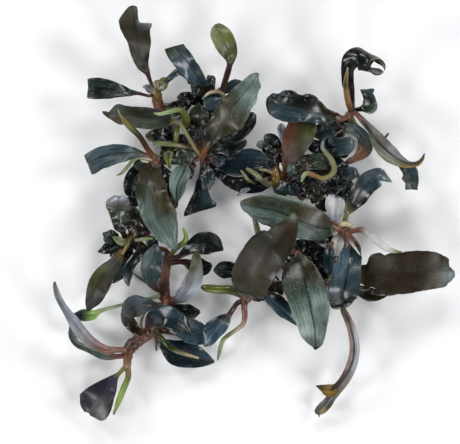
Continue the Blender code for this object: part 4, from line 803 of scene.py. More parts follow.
                (-47.5, -57.6, 5.6, 5.4, 5.4), (-48.8, -59, 4.6, 3.6, 3.6), (-49.4, -59.8, 4.2, 1, 1)]),
            dict(finish="leafDark", root=(-28.6, -35, 2.4), paint=["redBrown", "steel", "slate", "steel",
                "slate"], at=[
                (-25.2, -35.6, 3.8, 0.9, 0.9), (-22.6, -34.9, 5.6, 2.4, 2.4), (-19.5, -35, 6.4, 3.6, 3.8),
                (-16, -36.4, 6.2, 3.4, 3.4),
                (-13.2, -37.3, 5.4, 1.8, 1.8), (-11.7, -37.7, 5, 0.3, 0.3)]),
            dict(finish="leafDark", root=(-29.4, -35.6, 2.2), paint=["redBrown", "navy", "navy",
                "steel/navy", "navy"], fold=6, at=[
                (-28.2, -38.2, 3.2, 0.8, 0.8), (-26, -39.8, 4, 2.2, 2.4), (-22.6, -41.9, 4.4, 4.2, 4),
                (-18, -43.2, 4.2, 4, 3.4),
                (-14, -44.2, 3.6, 2.2, 1.8), (-11.6, -44.7, 3.1, 0.3, 0.3)]),
        ],
        spear=dict(paint=["pinkBrown", "yellowGreen", "lime", "yellowGreen"], at=[
            (-37.4, -49, 5.6, 0.9), (-38.6, -52.2, 8, 1), (-40.1, -56, 8.8, 0.9), (-41.8, -60.4, 8.4, 0.3)]),
        small=[dict(paint=["redBrown", "brown", "mauve"], at=[
            (-33.4, -37.2, 3.4, 0.8, 0.8), (-36.2, -33.8, 4.6, 1.8, 1.8), (-38, -31.6, 4.8, 1.8, 1.8),
            (-39.4, -29.9, 4.4, 0.3, 0.3)])],
        shoots=[dict(paint=["redBrown", "oliveGreen", "oliveGreen", "cream"], at=[
            (-29.4, -35, 2.6, 0.8), (-27.4, -37.6, 7, 0.8), (-23.6, -41, 8.2, 0.8),
            (-16.3, -43.5, 7.2, 0.3)])],
        roots=[[(-32.6, -37, 1.8, 0.5), (-33.6, -33, 0.6, 0.4), (-32, -29.2, 0.4, 0.2)],
               [(-29.6, -35.4, 1.4, 0.5), (-29.2, -38, 0.6, 0.4), (-29, -41.4, 0.4, 0.2)]],
    ),
    "south": dict(
        crown=(-2.4, -26.4, 4.2),
        stem=[(9.4, -10.6, 1, 1.3), (6, -15.4, 1.2, 1.5), (2, -20, 1.4, 1.6), (-1.2, -24.4, 2.8, 1.6),
            (-2.4, -26.2, 4.6, 1.3),
              (-2.5, -27.4, 5.2, 0.9)],
        bark=["rust", "redBrown", "redBrown", "pinkBrown", "pinkBrown"],
        leaves=[
            dict(finish="leafOlive", paint=["pinkBrown", "olive", "olive/umber", "brown/olive", "oliveDark",
                "oliveDark", "oliveBrown",
                 "umber", "umber"], roll=[0, 4, 4], fold=12, ribs=0.2, midrib=-0.15,
                     marks=[(0.97, 0, 0.03, 0.7, "paleSilver", 0.6),
                 (0.45, 0.95, 0.04, 0.16, "lilac", 0.6)], at=[
                (-1.65, -25.3, 7.6, 0.95, 0.95), (-1.5, -24.2, 9.2, 4, 4.2), (-0.9, -22.2, 11.4, 5.3, 5.2),
                (0, -18, 14.6, 6.3, 6.3),
                (2.25, -14.1, 16.8, 6.6, 6.6), (4.95, -10.65, 18.2, 6.3, 6.3), (7.5, -8.7, 18.8, 5.2, 5.2),
                (9.15, -6.45, 19.2, 4.4, 4.4), (10.5, -4.4, 19.4, 3.3, 3.3), (11.6, -2.4, 19.4, 2.1, 2.1),
                (12, -1, 19.2, 1.4, 1.4),
                (12.15, 0, 19, 0.3, 0.3)]),
            dict(finish="leafDark", paint=["pinkBrown", "blackGreen/slate", "ink/steel", "slate/steel",
                "slate/blue", "slate"],
                 midrib=1.4, ribs=0.6, at=[
                (2.7, -23.4, 5, 0.9, 0.9), (4.5, -24.9, 6, 1.5, 1.6), (6.6, -26.7, 6.6, 2.6, 2.3),
                (9, -28.8, 6.6, 2.5, 2.4),
                (11.1, -30.9, 6.2, 1.5, 1.7), (12.6, -32.7, 5.6, 0.7, 0.9), (13.2, -33.8, 5.4, 0.15, 0.15)]),
            dict(finish="leafDark", paint=["redBrown", "slate/navy", "steel/slate", "blue", "steel",
                "slate"], midrib=1.2, ribs=0.6, at=[
                (-4.5, -26.9, 5.4, 0.8, 0.8), (-6, -28.8, 6, 0.8, 0.8), (-7.2, -30.6, 7, 0.9, 0.9),
                (-8.55, -32.1, 8, 2, 2.2),
                (-10.2, -34, 8.8, 2.6, 3.3), (-12, -36, 9, 2.4, 3.4), (-13.5, -38.1, 8.4, 2, 1.8),
                (-14.8, -39.9, 7.6, 0.3, 0.3)]),
            dict(finish="leafSilver", root=(9, -11.2, 1.6), paint=["pinkBrown", "umber", "umber",
                "olive/greyGreen", "silver/greyGreen",
                 "paleSilver/silver", "silver/paleSilver", "silver/paleSilver", "silver",
                     "oliveBrown/silver", "brown/silver"],
                 roll=[0, 0, 4], fold=12, dots=0.6, ribs=0.4, midrib=-1.2, at=[
                (12.9, -11.9, 6.4, 1, 1), (13.8, -13.2, 8, 1.5, 2.1), (14.4, -15.6, 9.6, 3.4, 5),
                (15, -18.3, 10.8, 4.9, 6.6),
                (15.6, -21, 11.6, 5.8, 7), (16.2, -23.7, 12, 6, 6.6), (16.8, -26.4, 12, 6, 6.2),
                (17.4, -29.1, 11.6, 5.7, 5.8),
                (18, -32.1, 11, 4.8, 5.2), (18.45, -34.8, 10.2, 3.8, 4.6), (18.75, -37.2, 9.2, 2.9, 3.7),
                (18.75, -39, 8.2, 2.1, 2.5),
                (18.6, -40.2, 7.4, 0.9, 1.4), (18.3, -40.8, 7, 0.3, 0.3)]),
        ],
        small=[
            dict(paint=["redBrown", "ink", "teal"], at=[
                (2.6, -19.6, 2.2, 0.8, 0.8), (-2, -18.4, 3.8, 1, 1), (-6.4, -17.2, 5, 2.4, 2.4),
                (-9.4, -17, 5.2, 2.6, 2.6),
                (-11.8, -17.2, 4.8, 0.5, 0.5)]),
            dict(paint=["redBrown", "olive", "oliveDark", "olive"], at=[
                (-1.6, -24.4, 4.6, 0.8, 0.8), (0.4, -25.3, 5.6, 1.2, 1.2), (2.2, -25.4, 5.8, 1.3, 1.2),
                (4, -25.6, 5.4, 0.4, 0.4)]),
            dict(paint=["redBrown", "ink", "umber", "ink"], at=[
                (5, -17.4, 2.6, 0.8, 0.8), (6.4, -20.2, 5, 1.4, 1.4), (7.6, -22.4, 5.6, 1.9, 1.5),
                (8.8, -24.4, 5.4, 0.4, 0.4)]),
        ],
        fill=[
            (8.6, -12.6, 3.2, -60, 7, 2, "ink", "oliveDark"), (9.6, -11.4, 3.4, -20, 7, 2, "ink", "ink"),
            (9.8, -10.6, 3.6, 10, 7.6, 2, "ink", "teal"), (3, -19.4, 3.4, -50, 6, 1.8, "ink", "slate"),
        ],
        shoots=[
            dict(paint=["redBrown", "tan", "tan", "sage", "tan"], at=[
                (8.6, -12, 1.8, 0.8), (4.8, -11.2, 5, 0.9), (2.1, -7.4, 7, 0.95), (1, -3.6, 8, 0.85),
                (0, 0, 8.4, 0.6)]),
            dict(paint=["pinkBrown", "oliveGreen", "yellowGreen", "yellowGreen", "oliveGreen"], at=[
                (-2, -25.2, 3.4, 1.1), (-6.4, -23.2, 4.6, 1.35), (-10.5, -22.9, 4.8, 1.35),
                (-14, -22.5, 4.6, 1.2),
                (-15.6, -22.2, 4.4, 0.5)]),
            dict(paint=["redBrown", "pinkBrown", "pinkBrown", "cream", "sage", "paleGreen", "sage",
                "oliveGreen"], at=[
                (-2.7, -25.6, 5.4, 1), (-2.6, -28.5, 6.2, 0.95), (-2.5, -31, 6.2, 0.85),
                (-3, -33.3, 6, 0.75), (-4.8, -34.8, 5.4, 0.65),
                (-6.9, -36.3, 4.8, 0.65), (-8.7, -37.8, 4.2, 0.7), (-9.7, -40, 3.6, 0.65),
                (-10.2, -42.2, 3, 0.5),
                (-10.6, -44.2, 2.4, 0.15)]),
        ],
        roots=[[(5, -16.6, 1.4, 0.5), (1.4, -13.4, 0.5, 0.4), (-1.4, -9, 0.4, 0.2)],
               [(1, -21.4, 1.4, 0.5), (-4.4, -19.6, 0.5, 0.4), (-8.6, -16.8, 0.4, 0.2)],
               [(2, -20.4, 1.4, 0.5), (7, -22.6, 0.5, 0.4), (9, -27.6, 0.4, 0.2)]],
    ),
    "east": dict(
        crown=(27, -4.6, 4.6),
        stem=[(24.8, -28.4, 3, 1.2), (25.4, -25, 1.6, 1.6), (25.6, -18, 1.3, 1.6), (26.2, -10.6, 1.6, 1.6),
            (26.8, -7, 3.2, 1.7),
              (27.4, -5, 5, 1.5), (27.2, -4, 6.2, 1.1)],
        bark=["golden", "redBrown", "redBrown", "peach", "peach"],
        leaves=[
            dict(finish="leafDark", paint=["tan", "oliveDark", "blackGreen/oliveDark", "slate/teal",
                "slate/steel", "slate",
                 # the steel patch is a painted blue sheen on the dark blade
                 "paleSilver"], ribs=0.5, marks=[(0.62, 0.35, 0.14, 0.35, "steel", 0.6)], at=[
                (27.9, -1, 7.4, 0.8, 0.8), (28.2, 0.3, 8.4, 0.9, 1.2), (29.7, 2.7, 9.6, 1.95, 2.4),
                (31.2, 5.1, 10.8, 2.7, 3.3),
                (33, 7.5, 12, 3.1, 3.1), (34.8, 9.6, 12.4, 3.1, 3.4), (36.6, 11.25, 12.2, 2.2, 3.5),
                (38.1, 11.7, 11.8, 1.7, 2.5),
                (39.6, 10.8, 11.2, 0.9, 1.5), (41.55, 9.3, 10.6, 0.2, 0.2)]),
            dict(finish="leafSilver", paint=["peach", "greyGreen/umber", "greyGreen/umber", "silver/umber",
                "silver/umber",
                 "silver/greyGreen", "silver/greyGreen", "silver/olive", "silver/umber", "lilac"],
                 roll=[0, -4, 0], dots=0.45, ribs=0.5, midrib=-0.9,
                     # the pale silver strip along the right edge is a painted highlight
                     marks=[(0.62, 0.96, 0.2, 0.09, "paleSilver", 0.8)], at=[
                (25.2, -4.8, 6.6, 0.9, 0.9), (23.4, -4.65, 8, 2, 2), (21.6, -4.5, 9.6, 3.6, 3.6),
                (18.6, -3.9, 11.4, 4.3, 5.1),
                (15.6, -3, 12.6, 5.1, 5.7), (12.6, -1.65, 13.4, 5.6, 5.5), (9.6, -0.3, 13.8, 5.4, 5.2),
                (6.6, 0.75, 14, 5.4, 4.9),
                (3.6, 1.35, 13.8, 4.7, 4.2), (0.6, 1.95, 13.4, 3.6, 3.4), (-1.5, 2.4, 12.8, 2.5, 2.2),
                (-3, 2.55, 12.2, 1.9, 1.4),
                (-3.8, 2.55, 11.8, 0.9, 0.7)]),
            dict(finish="leafOlive", root=(25.8, -18.6, 2), paint=["pinkBrown", "brown/rust", "brown",
                "brown", "oliveBrown/brown",
                 "oliveBrown/brown", "brown", "brown", "brown/oliveBrown", "umber/mauve", "umber/silver",
                     "umber"],
                 # the silver patch at the tip is painted highlight; the lilac patch is the leaf's own colour
                 roll=[0, 4, 0], fold=8, dots=0.15, ribs=0.2, marks=[(0.94, -0.1, 0.035, 0.3, "silver", 0.8),
                 (0.97, 0.45, 0.04, 0.5, "lilac", 0.7)], at=[
                (31.5, -19.2, 8, 1.6, 1.6), (33, -18.9, 9.2, 3.2, 3.2), (34.8, -18.6, 9.8, 3.5, 3.6),
                (36.3, -18.3, 10.2, 6, 4.4),
                (38.1, -18.15, 10.6, 6.45, 5.4), (39.9, -18.15, 11, 5.7, 6.75),
                (42.3, -18, 11.4, 6.3, 6.45), (45.3, -17.85, 11.6, 6.3, 6.45),
                (48.3, -17.55, 11.4, 6.3, 6.15), (51.3, -17.4, 11, 6.15, 5.85),
                (53.7, -17.4, 10.4, 6, 5.55), (56.1, -17.4, 9.6, 5.1, 5.1),
                (57.9, -17.25, 8.8, 4.05, 4.5), (59.1, -17.25, 8, 2.7, 2.85), (59.7, -16.8, 7.6, 1, 1)]),
            dict(finish="leafDark", paint=["pinkBrown", "ink/slate", "teal/steel", "slate/steel",
                "slate/steel", "slate", "teal/slate",
                 "ink", "ink", "ink"], ribs=0.5, fold=14, midrib=-1,
                     # the two steel patches are painted highlights on both halves of the blade
                     marks=[(0.3, 0.5, 0.1, 0.3, "steel", 0.6),
                 (0.45, -0.5, 0.1, 0.3, "steel", 0.5)], at=[
                (28.95, -8.4, 6.4, 0.9, 0.9), (29.3, -9.9, 8.6, 1, 1), (29.4, -11.1, 10.4, 2.6, 2.1),
                (29.25, -12.9, 12, 3.4, 3.4),
                (28.8, -15.3, 13.4, 3.75, 4.05), (28.2, -17.7, 14.2, 4.2, 4.35),
                (27.75, -20.1, 14.6, 4.65, 4.65),
                (27.3, -22.5, 14.4, 4.8, 5.1), (27.15, -24.6, 13.6, 4.35, 4.95),
                (27.3, -26.1, 12.8, 3.45, 4.8),
                (27.7, -27.2, 12, 2.2, 3.8), (28, -28.2, 11.6, 0.5, 0.6)]),
            dict(finish="leafMauve", root=(25, -27.6, 2.8), paint=["tan", "dusty", "dusty", "lilac/dusty",
                "lilac/dusty", "lilac/dusty",
                 "lilac/dusty", "mauve/redBrown", "mauve/oliveBrown", "mauve/oliveBrown",
                     "mauve/oliveBrown", "umber/mauve",
                 "golden/umber", "umber", "ink"], fold=16, ribs=0.2, midrib=-1, wave=0.2,
                     # the pale grey patch near the left edge is a painted highlight; the brown patch is the
                     # leaf's own colour
                     marks=[(0.52, 0.1, 0.1, 0.16, "brown", 0.9),
                 (0.36, -0.75, 0.16, 0.2, "paleGrey", 0.6)], at=[
                (26.85, -27.5, 4.6, 0.75, 0.75), (27.15, -29.1, 6, 0.9, 1), (28.2, -31.5, 7.6, 1.25, 1.15),
                (29.25, -34.5, 9, 1.6, 1.2),
                (30, -37.5, 9.8, 1.7, 1.3), (30.3, -40.5, 10, 1.7, 1.5), (30.15, -43.2, 9.6, 1.65, 1.65),
                (29.4, -45.9, 8.8, 1.7, 1.65),
                (28.2, -48.3, 7.8, 1.8, 1.5), (26.55, -50.7, 6.8, 1.95, 1.35), (24.9, -52.8, 6, 1.9, 1.4),
                (23.25, -55.05, 5.2, 1.8, 1.1),
                (21.75, -57, 4.4, 2.1, 1.3), (20.25, -58.65, 3.6, 1.9, 1.4), (19.2, -59.7, 3, 1.1, 1),
                (18.9, -60.2, 2.8, 0.5, 0.5)],
                 flaps=[
                dict(paint=["oliveBrown", "oliveBrown", "golden", "oliveBrown", "ink"], wave=0, fold=0,
                    curl=[0, 0], at=[
                    (26.4, -51.6, 6.6, 1.1, 1.1), (24.6, -52.6, 6.2, 1.8, 1.4), (22.5, -52.8, 6, 2.3, 1.5),
                    (20.7, -52.35, 5.8, 1.1, 0.95),
                    (19.4, -51.95, 5.6, 0.4, 0.35), (18.8, -51.75, 5.5, 0.1, 0.1)]),
                dict(paint=["umber", "umber"], wave=0, at=[(19.8, -59.6, 3, 0.5, 0.5),
                    (19.85, -61.3, 2.8, 0.1, 0.1)])]),
        ],
        spear=dict(paint=["pinkBrown", "pinkBrown", "pinkBrown", "pinkBrown/mauve", "paleGrey", "paleGrey",
            "paleGrey", "sage",
                          "oliveGreen"], at=[
            (29.4, -5.4, 6.4, 0.8), (30.9, -5.2, 8, 0.8), (32.6, -5.1, 10, 1), (34.2, -6, 11.8, 1.1),
            (36.6, -7.8, 13.6, 1.15),
            (39, -9.9, 14.8, 1.05), (41.1, -11.1, 15.2, 0.85), (43.2, -11.6, 15.2, 0.45),
            (44.4, -11.5, 15, 0.15)]),
        small=[
            dict(paint=["pinkBrown", "slate", "slate", "steel", "slate"], ribs=0.6, at=[
                (26, -9.4, 2.6, 0.8, 0.8), (23.4, -9.2, 5, 0.9, 0.9), (22.8, -11.4, 6.2, 1.5, 1.5),
                (22.7, -14.4, 6.8, 1.9, 1.8),
                (22.6, -17, 6.4, 1.6, 1.5), (22.8, -18.6, 5.8, 0.4, 0.4)]),
            dict(paint=["pinkBrown", "ink", "ink", "navy", "ink"], at=[
                (25.6, -13.6, 2.2, 0.8, 0.8), (20.8, -12.8, 3.6, 2.2, 2.2), (17, -11.8, 4.4, 2.8, 2.8),
                (13.8, -10.6, 4.4, 0.5, 0.5)]),
            dict(paint=["pinkBrown", "olive", "oliveDark", "olive", "oliveDark"], fold=14, at=[
                (25.8, -22, 1.8, 0.8, 0.8), (30.6, -22.8, 4, 1.2, 1.4), (33, -23.6, 5, 1.9, 1.9),
                (35.1, -24.6, 5.6, 2.4, 2.1),
                (37.2, -25, 5.6, 2.2, 1.4), (39.6, -24.8, 5, 0.9, 0.5), (40.2, -24.8, 4.8, 0.2, 0.2)]),
            dict(paint=["pinkBrown", "lilac", "paleGrey", "paleGrey", "lilac", "silver"], wave=0.2, at=[
                (26.6, -5.4, 4, 0.8, 0.8), (24.8, -3.6, 6.2, 0.5, 0.5), (24.6, -1.2, 7, 1.8, 2),
                (24.6, 1.5, 7.4, 3, 3),
                (24.9, 3.6, 7.2, 3.1, 2.7), (25.2, 4.9, 6.8, 2.2, 1.9), (25.4, 5.4, 6.6, 0.5, 0.5)]),
            dict(paint=["pinkBrown", "paleGrey", "paleGrey", "paleGrey"], wave=0.1, at=[
                (26.4, -6.4, 4.4, 0.8, 0.8), (25.6, -8.4, 5, 1.9, 2.2), (25.2, -10.6, 5, 1.6, 1.6),
                (25, -13, 4.6, 0.3, 0.3)]),
            dict(paint=["pinkBrown", "umber", "blackGreen", "ink"], at=[
                (28.8, -6.6, 5.6, 0.7, 0.7), (30, -8.4, 7, 1, 1), (31.2, -10.6, 8, 1.2, 1.1),
                (32, -12.6, 8, 0.3, 0.3)]),
        ],
        fill=[
            (22.6, -11.6, 3.4, 175, 7, 2, "ink", "ink"), (21, -13.4, 3.4, 200, 6, 1.9, "ink", "navy"),
            (21.6, -12, 3.4, 235, 6.4, 1.9, "ink", "teal"), (20, -10.4, 3.6, 150, 6, 1.9, "ink", "ink"),
            (24.6, -8.4, 3.4, 165, 8, 2, "ink", "slate"), (22, -15, 3.2, 250, 6.4, 1.8, "ink", "blackGreen"),
            (23, -20.6, 3, 200, 4.6, 1.5, "blackGreen", "olive"), (25.6, -1.8, 4.4, 115, 7, 2, "ink", "navy"),
            (24, 0, 4.4, 140, 7, 2, "ink", "teal"), (27, 0.6, 5, 95, 8, 1.8, "ink", "teal"),
        ],
        shoots=[
            dict(paint=["peach", "cream", "cream", "white"], at=[
                (25.6, -3.8, 6.4, 0.7), (27.2, -3.2, 7.2, 0.9), (29, -3.6, 7, 0.7), (29.9, -4.3, 6.6, 0.3)]),
            dict(paint=["peach", "pinkBrown", "paleGrey", "paleGrey"], at=[
                (28.4, -6.2, 6.4, 0.9), (29, -8.2, 8.6, 0.7), (30.2, -10, 12.6, 0.4),
                (32.1, -12.6, 14.4, 0.15)]),
            dict(paint=["golden", "golden", "tan", "golden"], at=[
                (25.2, -26.4, 3.6, 0.7), (24.9, -27.4, 4.6, 1), (24.5, -28.1, 4.8, 0.8),
                (24.3, -28.5, 4.8, 0.2)]),
            dict(paint=["paleSilver", "paleGrey", "silver"], at=[(19.2, -16.2, 4, 0.25),
                (21, -16.2, 4.6, 0.35), (22.4, -16.5, 4.2, 0.2)]),
            dict(paint=["golden", "yellowGreen", "golden"], at=[(23.8, -17.8, 3, 0.5),
                (22.6, -19.4, 4, 0.6), (22.4, -21, 3.6, 0.3)]),
        ],
        roots=[[(25.8, -16, 1.2, 0.5), (29, -13.8, 0.5, 0.4), (31.2, -14.2, 0.4, 0.2)],
               [(25.4, -21, 1.2, 0.5), (20.2, -22.6, 0.5, 0.4), (16.4, -27, 0.4, 0.2)],
               [(26.2, -10, 1.2, 0.5), (22, -5.4, 0.5, 0.4), (17.4, -4.2, 0.4, 0.2)]],
    ),
    "northeast": dict(
        crown=(29, 29.6, 5.6),
        stem=[(21.4, 12.4, 1, 1.3), (23.2, 17, 1.2, 1.5), (25.4, 22.6, 1.8, 1.5), (27.6, 27, 4.2, 1.4),
            (29, 29.4, 6, 1.3),
              (30, 30.6, 6.8, 0.9)],
        bark=["rust", "redBrown", "redBrown", "pinkBrown", "pinkBrown"],
        leaves=[
            # the lighter slate on the left (south) half of the blade is painted grey-blue sheen; the right
            # half keeps the dark leaf colour
            dict(finish="leafDark", paint=["pinkBrown", "umber/brown", "slate/brown", "slate/oliveDark",
                "slate/ink", "slate/blackGreen",
                 "slate/blackGreen", "teal/ink", "greyGreen/slate"], fold=12, ribs=0.5, midrib=0.6,
                     wave=0.7, waves=3.4, at=[
                (27, 28.35, 7, 0.9, 0.9), (24.6, 28.8, 9.2, 1.8, 1.35), (21.9, 29.25, 11.4, 2.55, 2.25),
                (18.6, 30, 13.2, 3.15, 3.9),
                (15.6, 30.6, 14.2, 3.45, 4.5), (12.6, 31.35, 14.6, 4.5, 4.35),
                (9.9, 31.95, 14.4, 4.65, 4.35), (7.5, 33, 13.6, 4.5, 3),
                (6, 33.9, 12.8, 3, 2.7), (4.95, 35.1, 12.2, 1.2, 1.2)],
                 flaps=[
                dict(paint=["ink", "navy", "slate"], at=[
                    (13.6, 34.6, 14.2, 0.6, 0.6), (11.6, 35.6, 15, 1.1, 1.1), (9.6, 35.8, 15, 1, 1),
                    (8, 35.6, 14.6, 0.3, 0.3)]),
                dict(paint=["ink", "navy", "slate"], at=[
                    (20, 32.2, 13.4, 0.6, 0.6), (18, 34, 14.4, 1.2, 1.2), (15.8, 34.6, 14.6, 1.1, 1.1),
                    (14.2, 34.2, 14.4, 0.3, 0.3)])]),
            dict(finish="leafDark", under="oliveBrown", paint=["redBrown", "brown", "brown", "ink", "ink",
                "blackGreen", "blackGreen",
                 "blackGreen", "oliveDark", "olive"], fold=0, wave=0.1, billow=0.1, ribs=0.2, midrib=0,
                 curl=[0.2, 0.2, 0.2, 0.2, 0.1, 0, -0.16, -0.27, -0.34, -0.39, -0.42, -0.43],
                     sizes={"Sides": 60}, at=[
                (29.7, 31.2, 7, 0.8, 0.8), (29.4, 33.9, 9.4, 1.1, 1.1), (29.1, 36.3, 12, 1.5, 1.3),
                (28.65, 38.7, 14.6, 2.1, 1.6),
                (28.35, 41.4, 17.2, 2, 1.8), (28.5, 43.6, 19.4, 2.3, 2.2), (29.3, 45.4, 21, 3.3, 3.6),
                (31, 46, 22.2, 5, 5.2),
                (32.6, 45.6, 22.6, 6.2, 6.4), (34, 45.1, 23, 7, 7), (34.9, 44.8, 23.8, 7.1, 7.1),
                (35.3, 44.6, 24.9, 7.1, 7.1)]),
            dict(finish="leafDark", paint=["blackGreen", "greyGreen", "blackGreen", "blackGreen/slate",
                "greyGreen/slate", "slate"],
                 # the pale silver patch on the right edge and the small white patch are painted highlight and
                 # glint
                 ribs=0.2, marks=[(0.55, 0.85, 0.2, 0.2, "paleSilver", 0.8),
                     (0.6, -0.3, 0.05, 0.2, "white", 0.8)], at=[
                (30.6, 30.75, 5, 0.8, 0.8), (32.7, 31.35, 6.4, 0.9, 1.05), (34.5, 32.2, 7.8, 2.1, 3),
                (34.9, 33.9, 8.6, 2, 2),
                (34.35, 35.4, 8.8, 1.65, 1.8), (34.2, 36.6, 8.6, 2.1, 2.25), (34.15, 37.1, 8.4, 2.1, 2.1)]),
            dict(finish="leafMauve", paint=["pinkBrown", "mauve/umber", "mauve/umber", "mauve/moss",
                "mauve/moss", "mauve/moss",
                 "lilac/moss", "mauve/moss", "mauve/golden", "umber/golden", "golden", "umber"],
                 roll=[0, -4, 0], fold=26, midrib=-1.6, ribs=0.2, dots=0.15, wave=0.3,
                     marks=[(0.75, 0.95, 0.12, 0.16, "golden", 0.9),
                 (0.3, 0.95, 0.1, 0.12, "paleSilver", 0.5)], at=[
                (30.6, 29.85, 8, 0.8, 0.8), (32.1, 28.5, 9.6, 0.9, 0.9), (33.9, 26.4, 11.6, 1.25, 1.1),
                (35.4, 24.3, 13, 1.9, 1),
                (36.9, 21.9, 14, 2.7, 2), (39, 19.5, 14, 2.9, 2.9), (41.4, 17.4, 13.4, 2.6, 2.9),
                (44.1, 15.75, 12.4, 1.7, 2.2),
                (46.8, 14.7, 11.6, 0.9, 1.3), (49.2, 14.85, 11.2, 0.8, 1), (50.7, 16.2, 11.2, 0.6, 0.6),
                (51.3, 17.85, 11.4, 0.15, 0.15)],
                 flaps=[dict(paint=["umber", "mauve"], round=True, at=[
                    (39.4, 22.4, 13, 0.25, 0.25), (40.2, 23.4, 13.6, 0.4, 0.4),
                    (40.6, 23.9, 13.6, 0.3, 0.3)])]),
            dict(finish="leafSilver", paint=["tan", "greyGreen", "slate", "slate/greyGreen", "greyGreen",
                "teal"], dots=0.1, ribs=0.3, at=[
                (31, 26, 3, 0.8, 0.8), (36, 21.4, 4, 0.9, 0.9), (42, 16.9, 6.4, 0.9, 0.9),
                (45.3, 14, 7.6, 1.6, 1.6),
                (46.8, 12.3, 8, 2.6, 2.2), (47.3, 10.8, 8, 2.4, 2.8), (47.5, 9.3, 7.8, 2.2, 2),
                (47.5, 7.9, 7.4, 1.9, 1.9),
                (47.5, 7.1, 7.1, 1.8, 1.9)]),
            dict(finish="leafSilver", paint=["teal", "greyGreen", "greyGreen", "slate", "slate/greyGreen",
                "greyGreen/oliveBrown",
                 "rust", "orangeBrown", "rust", "rust"], dots=0.05, ribs=0.3, at=[
                (26.1, 26.1, 6, 1.4, 1.2), (28.2, 25.65, 6.8, 1.4, 1.8), (30.3, 25.2, 7.6, 1.5, 1.8),
                (32.4, 23.7, 8.2, 1.8, 2),
                (33.45, 21.6, 8.4, 2.2, 2.2), (33.45, 19.5, 8.2, 2.4, 2.2), (32.4, 17.7, 7.6, 1.8, 1.8),
                (30.6, 16.35, 7, 1.1, 1.1),
                (28.8, 15.45, 6.4, 0.9, 0.9), (27.45, 14.7, 6, 0.3, 0.3)]),
        ],
        spear=dict(paint=["paleSilver", "paleSilver", "tan", "sage", "tan", "tan", "tan", "golden",
            "orangeBrown", "paleGreen", "paleGreen",
                          "paleGreen"], at=[
            (21, 21.6, 7.6, 0.5), (20.7, 19.8, 8.4, 0.6), (21.6, 18.3, 8.8, 0.7), (23.1, 16.5, 9, 0.8),
            (24.15, 14.4, 9, 0.85),
            (24.15, 12.6, 9, 0.85), (23.1, 11.1, 8.8, 0.8), (21, 10.4, 8.6, 0.75), (18.9, 11, 8.4, 0.75),
            (16.8, 11.85, 8.2, 0.8),
            (15.6, 11.7, 8, 0.75), (14.85, 10.5, 7.6, 0.6), (14.55, 9.3, 7.2, 0.25)]),
        small=[
            dict(paint=["redBrown", "blackGreen", "slate/teal", "teal", "blackGreen"], at=[
                (27, 25.5, 6.2, 1, 1), (24.6, 25.2, 7.2, 2, 2.2), (21.9, 24.6, 7.6, 2.4, 2.8),
                (19.5, 24, 7.2, 2, 2.4),
                (17.4, 23.4, 6.8, 0.5, 0.5)]),
            dict(paint=["ink", "ink", "navy", "slate", "slate/steel", "blue"],
                marks=[(0.95, 0.2, 0.06, 0.9, "paleSilver", 0.8)], at=[
                (19.5, 15.9, 4.4, 0.9, 0.9), (21.6, 18.3, 6, 2.2, 2.2), (24.3, 19.8, 7, 2.9, 3.1),
                (27, 20.4, 7.2, 2.4, 3.2),
                (29.1, 20.6, 7, 2, 2.6), (30.3, 20.7, 6.6, 1, 1.4)]),
            dict(paint=["ink", "teal", "slate", "slate", "teal"], at=[
                (24, 10.8, 4, 0.9, 0.9), (26.4, 11.4, 5.6, 1.6, 1.6), (28.2, 11.7, 6.2, 2.2, 2.2),
                (30, 11.7, 6.2, 2, 2),
                (31.5, 11.4, 5.6, 0.9, 0.9), (32, 11.3, 5.4, 0.2, 0.2)]),
            dict(paint=["oliveGreen", "greyGreen", "greyGreen", "greyGreen", "blackGreen"], ribs=0.6, at=[
                (14.7, 16.8, 5, 0.8, 0.8), (16.8, 16.4, 6.6, 1.2, 1), (19.2, 15.9, 7.2, 2.2, 2),
                (21.3, 15.3, 7.2, 2.4, 2.4),
                (23.1, 15, 6.8, 1.6, 1.8), (24, 14.6, 6.2, 0.4, 0.4)]),
            dict(paint=["ink", "umber", "greyGreen", "umber", "ink"], at=[
                (21.6, 12.6, 3.4, 0.8, 0.8), (20.4, 9.8, 5, 2, 2), (19.4, 7, 5.6, 2.6, 2.4),
                (18.4, 4.4, 5.4, 1.8, 1.6),
                (17.8, 2.8, 5, 0.4, 0.4)]),
            dict(paint=["ink", "blackGreen", "teal"], at=[
                (20.6, 8.6, 4.4, 0.8, 0.8), (23, 7, 5.6, 2, 2), (25.6, 5.6, 6, 2.2, 2),
                (27.4, 4.2, 5.6, 0.5, 0.5)]),
        ],
        fill=[
            (22.4, 13.4, 4.6, -35, 7.4, 2.2, "ink", "teal"), (22, 12, 4.2, -75, 8, 2.2, "ink", "blackGreen"),
            (23.6, 17.4, 4.4, 15, 6, 2, "ink", "ink"), (24.6, 21, 5, 150, 6, 2, "ink", "navy"),
            (23, 14.6, 4.4, 170, 7, 2, "oliveDark", "olive"), (25.2, 9.8, 4.4, -30, 6, 2, "ink", "teal"),
            (26, 8.6, 4.2, -70, 6.4, 2, "blackGreen", "ink"), (21.6, 21.4, 4.8, 110, 5, 1.8, "greyGreen",
            "umber"),
            (22.2, 18.6, 4.4, 160, 6.4, 2, "ink", "ink"), (23.4, 11.4, 4.4, 230, 7, 2, "ink", "umber"),
            (25, 16.6, 4.4, -60, 6, 2, "ink", "blackGreen"), (20.6, 12.4, 4, 200, 6.4, 2, "ink", "navy"),
        ],
        shoots=[dict(paint=["redBrown", "orangeBrown", "golden", "oliveGreen", "golden", "sage", "cream"],
            at=[
            (29.4, 30.6, 7, 0.9), (28.5, 33.2, 10.6, 0.95), (27.9, 36.3, 14.6, 0.85), (27.7, 38.7, 17, 0.8),
            (27.95, 41.1, 19.2, 0.6),
            (28.2, 42.75, 20.8, 0.35), (28.3, 43.5, 21.4, 0.15)])],
